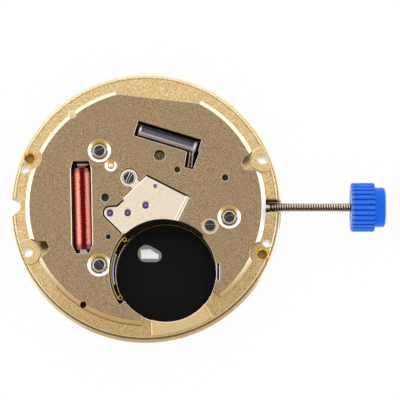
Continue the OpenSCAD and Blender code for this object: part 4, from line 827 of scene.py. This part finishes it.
# Trimmer: a stepped adjusting screw seen through its hole
trimmer = {"r": 0.42, "low": 2.34, "high": 2.58, "plate": 2.46, "hubR": 0.24}
r, low, plate, hub = trimmer["r"], trimmer["low"], trimmer["plate"], trimmer["hubR"]
piece = turnOnLathe("trimmer", [
    (r - 0.04, low), (r, low + 0.02), (r, plate - 0.02), (r - 0.03, plate), (hub, plate),
    (hub - 0.04, plate + 0.04), (hub - 0.07, trimmer["high"] - 0.02), (0.1, trimmer["high"])])
applyPlace(piece, (*places["trimmer"], 0))
mountPiece(piece, trimmerBrass, "trimmer")

# Stem with its square and its thread, along Z and then laid on X
stem = {"bodyR": 0.6, "start": 7.36, "hub": 11.15, "groove": (8.65, 9.15), "grooveR": 0.35, "neckR": 0.43,
        "thread": 11.95, "end": 20.76, "core": 0.33, "crest": 0.45, "pitch": 0.238, "lead": 0.1, "tail": 0.3,
        "pilot": (4.1, 5.1), "pilotR": 0.25, "innerR": 0.2,
        "square": 0.6, "squareLong": 2.38, "squareAt": 6.22, "squareBevel": 0.04}


def makeStem():
    near, far = stem["groove"]
    start, hub, thread, end = stem["start"], stem["hub"], stem["thread"], stem["end"]
    body, bottom, inner, neck, core = (stem[part] for part in ("bodyR", "grooveR", "innerR", "neckR", "core"))
    shoulder = body - 0.02
    shaft = turnOnLathe("stem", [
        (inner, start), (body - 0.03, start), (body, start + 0.04), (body, near - 0.02), (shoulder, near),
        (bottom, near), (bottom, far), (shoulder, far), (body, far + 0.02), (body, hub - 0.08),
        (body - 0.03, hub - 0.03), (neck, hub), (neck, thread - 0.1), (core, thread), (core, end - 0.06),
        (core - 0.06, end)])
    tip, heel = stem["pilot"]
    r = stem["pilotR"]
    pilot = turnOnLathe("stemPilot", [
        (r - 0.1, tip), (r - 0.03, tip + 0.02), (r, tip + 0.08), (r, heel), (inner, heel)], 32)
    square = blockOf((stem["square"], stem["square"], stem["squareLong"]), (0, 0, stem["squareAt"]))
    finishModifier(square, "BEVEL", {"width": stem["squareBevel"] * mm, "segments": 3})
    pitch = stem["pitch"]
    turns = int((end - thread - stem["tail"]) / pitch)
    ridge = windRidge(4, stem["crest"] - core, core, thread + stem["lead"], pitch, turns, 24)
    joinPieces(shaft, [pilot, square, ridge])
    return applyPlace(shaft, (0, 0, places["stemHigh"]), (0, 90, 0))


mountPiece(makeStem(), stemSteel, "stem", "stem")

# Crown: a turned blank whose rim is fluted, with a smooth button
crown = {"start": 19.66, "long": 2.24, "r": 2.345, "boreR": 0.47, "boreDeep": 1.2, "buttonR": 1.9,
         "button": 1.05, "flutes": 28, "depth": 0.17, "columns": 6, "cutColumns": (0, 1), "rimDeep": 0.35,
         "round": 0.045, "roundFrom": 40}


def makeCrown():
    start = crown["start"]
    step = start + crown["long"]
    end = step + crown["button"]
    r, button, bore = crown["r"], crown["buttonR"], crown["boreR"]
    blank = turnOnLathe("crown", [
        (bore, start + crown["boreDeep"]), (bore, start), (r - 0.3, start), (r - 0.12, start + 0.01),
        (r - 0.03, start + 0.07), (r, start + 0.16), (r, step - 0.12), (r - 0.03, step - 0.04),
        (r - 0.1, step), (r - 0.3, step), (button + 0.02, step), (button, step + 0.04),
        (button, end - 0.24), (button - 0.06, end - 0.09), (button - 0.22, end - 0.015),
        (button - 0.6, end)], crown["columns"] * crown["flutes"])
    # the first columns of faces at each flute are sunk into the rim
    makeActive(blank)
    mesh = blank.data
    columnWide = 360 / (crown["columns"] * crown["flutes"])
    slack = 0.01
    for polygon in mesh.polygons:
        middle = polygon.center
        angle = math.degrees(math.atan2(middle.y, middle.x)) % 360
        onRim = (start + slack < middle.z / mm < step - slack
                 and math.hypot(middle.x, middle.y) > (r - crown["rimDeep"]) * mm)
        polygon.select = onRim and int(angle / columnWide) % crown["columns"] in crown["cutColumns"]
    for part in (*mesh.vertices, *mesh.edges):
        part.select = False
    bpy.ops.object.mode_set(mode="EDIT")
    bpy.ops.mesh.select_mode(type="FACE")
    bpy.ops.mesh.extrude_region_move()
    sunk = 1 - crown["depth"] / r
    bpy.ops.transform.resize(value=(sunk, sunk, 1), center_override=(0, 0, (start + step) / 2 * mm))
    faceOutward()
    finishModifier(blank, "BEVEL", {"width": crown["round"] * mm, "segments": 3, "limit_method": "ANGLE",
                                    "angle_limit": math.radians(crown["roundFrom"])})
    return applyPlace(blank, (0, 0, places["stemHigh"]), (0, 90, 0))


mountPiece(makeCrown(), crownPlastic, "crown", "stem")
print("stem and crown made")

# Date numerals on the dial side of the ring
dateRing = {"days": 31, "r": 10.42, "face": 0.12, "size": 1.25, "high": 0.006}


def makeNumerals():
    numerals = []
    low = dateRing["face"] - dateRing["high"] / 2
    for day in range(1, dateRing["days"] + 1):
        bpy.ops.object.text_add()
        text = bpy.context.object
        text.data.body = str(day)
        text.data.align_x = "CENTER"
        text.data.align_y = "CENTER"
        text.data.size = dateRing["size"] * mm
        text.data.extrude = dateRing["high"] / 2 * mm
        text.data.resolution_u = 3
        bpy.ops.object.convert(target="MESH")
        text = bpy.context.object
        angle = 360 / dateRing["days"] * (day - 1)
        applyPlace(text, (*polar(dateRing["r"], angle), low), (180, 0, angle))
        numerals.append(text)
    joinPieces(numerals[0], numerals[1:])
    numerals[0].name = "dateNumerals"
    return numerals[0]


mountPiece(makeNumerals(), numeralInk, body="date_ring")
print("numerals printed")

# Floor: white to the camera and in reflections, a pale matte to the light, and clear from below
floorLook = {"z": -2.0, "half": 0.4, "tone": "#F4F3F1", "glow": 0.97}


def makeFloorPaint():
    paint, tree = emptyMaterial("paleFloor")
    rays = addNode(tree, "LightPath")
    seen = addNode(tree, "Math", {"operation": "MAXIMUM"},
                   {0: rays.outputs["Is Camera Ray"], 1: rays.outputs["Is Glossy Ray"]})
    seenOrThrough = addNode(tree, "Math", {"operation": "MAXIMUM"},
                            {0: seen, 1: rays.outputs["Is Transmission Ray"]})
    glow = addNode(tree, "Math", {"operation": "MULTIPLY", 1: floorLook["glow"]}, {0: seenOrThrough})
    matte = addNode(tree, "BsdfDiffuse", {"Color": linear(floorLook["tone"])})
    white = addNode(tree, "Emission", {"Strength": 1.0})
    lit = addNode(tree, "MixShader", {}, {0: glow, 1: matte, 2: white})
    under = addNode(tree, "NewGeometry")
    clear = addNode(tree, "BsdfTransparent")
    sided = addNode(tree, "MixShader", {}, {0: under.outputs["Backfacing"], 1: lit, 2: clear})
    addNode(tree, "OutputMaterial", {}, {"Surface": sided})
    return paint


bpy.ops.mesh.primitive_plane_add(size=2 * floorLook["half"], location=(0, 0, floorLook["z"] * mm))
floor = bpy.context.object
floor.name = "floor"
floor.data.materials.append(makeFloorPaint())

# The world is level overhead, bright low down at the sides and behind, and has one soft lamp high at the
# left. Reflections from the front are warm
light = {"overhead": 0.88, "side": 1.6, "sidePower": 3.0, "back": 1.1, "backFrom": 0.5, "lamp": 3.0,
         "lampWay": (-0.42, 0.5, 0.757), "lampEdge": (0.975, 0.99), "warm": "#DBC384",
         "warmReach": (-0.25, -0.6)}


def makeWorld():
    world = bpy.data.worlds.new("softBox")
    bpy.context.scene.world = world
    world.use_nodes = True
    tree = world.node_tree
    tree.nodes.clear()
    way = addNode(tree, "TexCoord")
    axes = addNode(tree, "SeparateXYZ", {}, {"Vector": way.outputs["Generated"]})
    sideways = addNode(tree, "Math", {"operation": "ABSOLUTE"}, {0: axes.outputs["X"]})
    lowSide = addNode(tree, "Math", {"operation": "POWER", 1: light["sidePower"]}, {0: sideways})
    ahead = addNode(tree, "MapRange", readFrom(*light["warmReach"]), {"Value": axes.outputs["Y"]})
    notAhead = addNode(tree, "Math", {"operation": "SUBTRACT", 0: 1.0}, {1: ahead})
    sideOnly = addNode(tree, "Math", {"operation": "MULTIPLY"}, {0: lowSide, 1: notAhead})
    sideLight = addNode(tree, "Math", {"operation": "MULTIPLY_ADD", 1: light["side"], 2: light["overhead"]},
                        {0: sideOnly})
    behind = addNode(tree, "MapRange", {**readFrom(light["backFrom"], 1.0), "To Max": light["back"]},
                     {"Value": axes.outputs["Y"]})
    lampNear = addNode(tree, "VectorMath", {"operation": "DOT_PRODUCT", 1: light["lampWay"]},
                       {0: way.outputs["Generated"]})
    lamp = addNode(tree, "MapRange", {**readFrom(*light["lampEdge"]), "To Max": light["lamp"]},
                   {"Value": lampNear.outputs["Value"]})
    lowLight = addNode(tree, "Math", {"operation": "ADD"}, {0: sideLight, 1: behind})
    level = addNode(tree, "Math", {"operation": "ADD"}, {0: lowLight, 1: lamp})
    # only reflections see the shaped light; all else is lit evenly by white
    rays = addNode(tree, "LightPath")
    glossy = rays.outputs["Is Glossy Ray"]
    soft = addNode(tree, "Mix", {2: 1.0}, {0: glossy, 3: level})
    warmShare = addNode(tree, "Math", {"operation": "MULTIPLY"}, {0: ahead, 1: glossy})
    white = linear("#FFFFFF")
    tint = addNode(tree, "Mix", {"data_type": "RGBA", 6: white, 7: linear(light["warm"])}, {0: warmShare})
    sky = addNode(tree, "Background", {}, {"Color": tint.outputs[2], "Strength": soft})
    plain = addNode(tree, "Background", {"Color": white, "Strength": 1.0})
    shown = addNode(tree, "MixShader", {}, {0: rays.outputs["Is Camera Ray"], 1: sky, 2: plain})
    addNode(tree, "OutputWorld", {}, {"Surface": shown})


makeWorld()

# The camera looks down on the cover side, a little from the front
view = {"away": 235.0, "tilt": 8.5, "aim": (5.2, 0.57, 2.45), "wide": 38.25, "sensor": 36, "nearest": 0.01}


def makeCamera():
    data = bpy.data.cameras.new("camera")
    data.sensor_width = view["sensor"]
    data.lens = view["sensor"] * view["away"] / view["wide"]
    data.clip_start = view["nearest"]
    camera = bpy.data.objects.new("camera", data)
    bpy.context.scene.collection.objects.link(camera)
    x, y, z = view["aim"]
    back, up = polar(view["away"], 90 - view["tilt"])
    camera.location = (x * mm, (y - back) * mm, (z + up) * mm)
    camera.rotation_euler = (math.radians(view["tilt"]), 0, 0)
    bpy.context.scene.camera = camera


makeCamera()
bpy.context.scene.view_settings.view_transform = "Standard"
print("stage set")
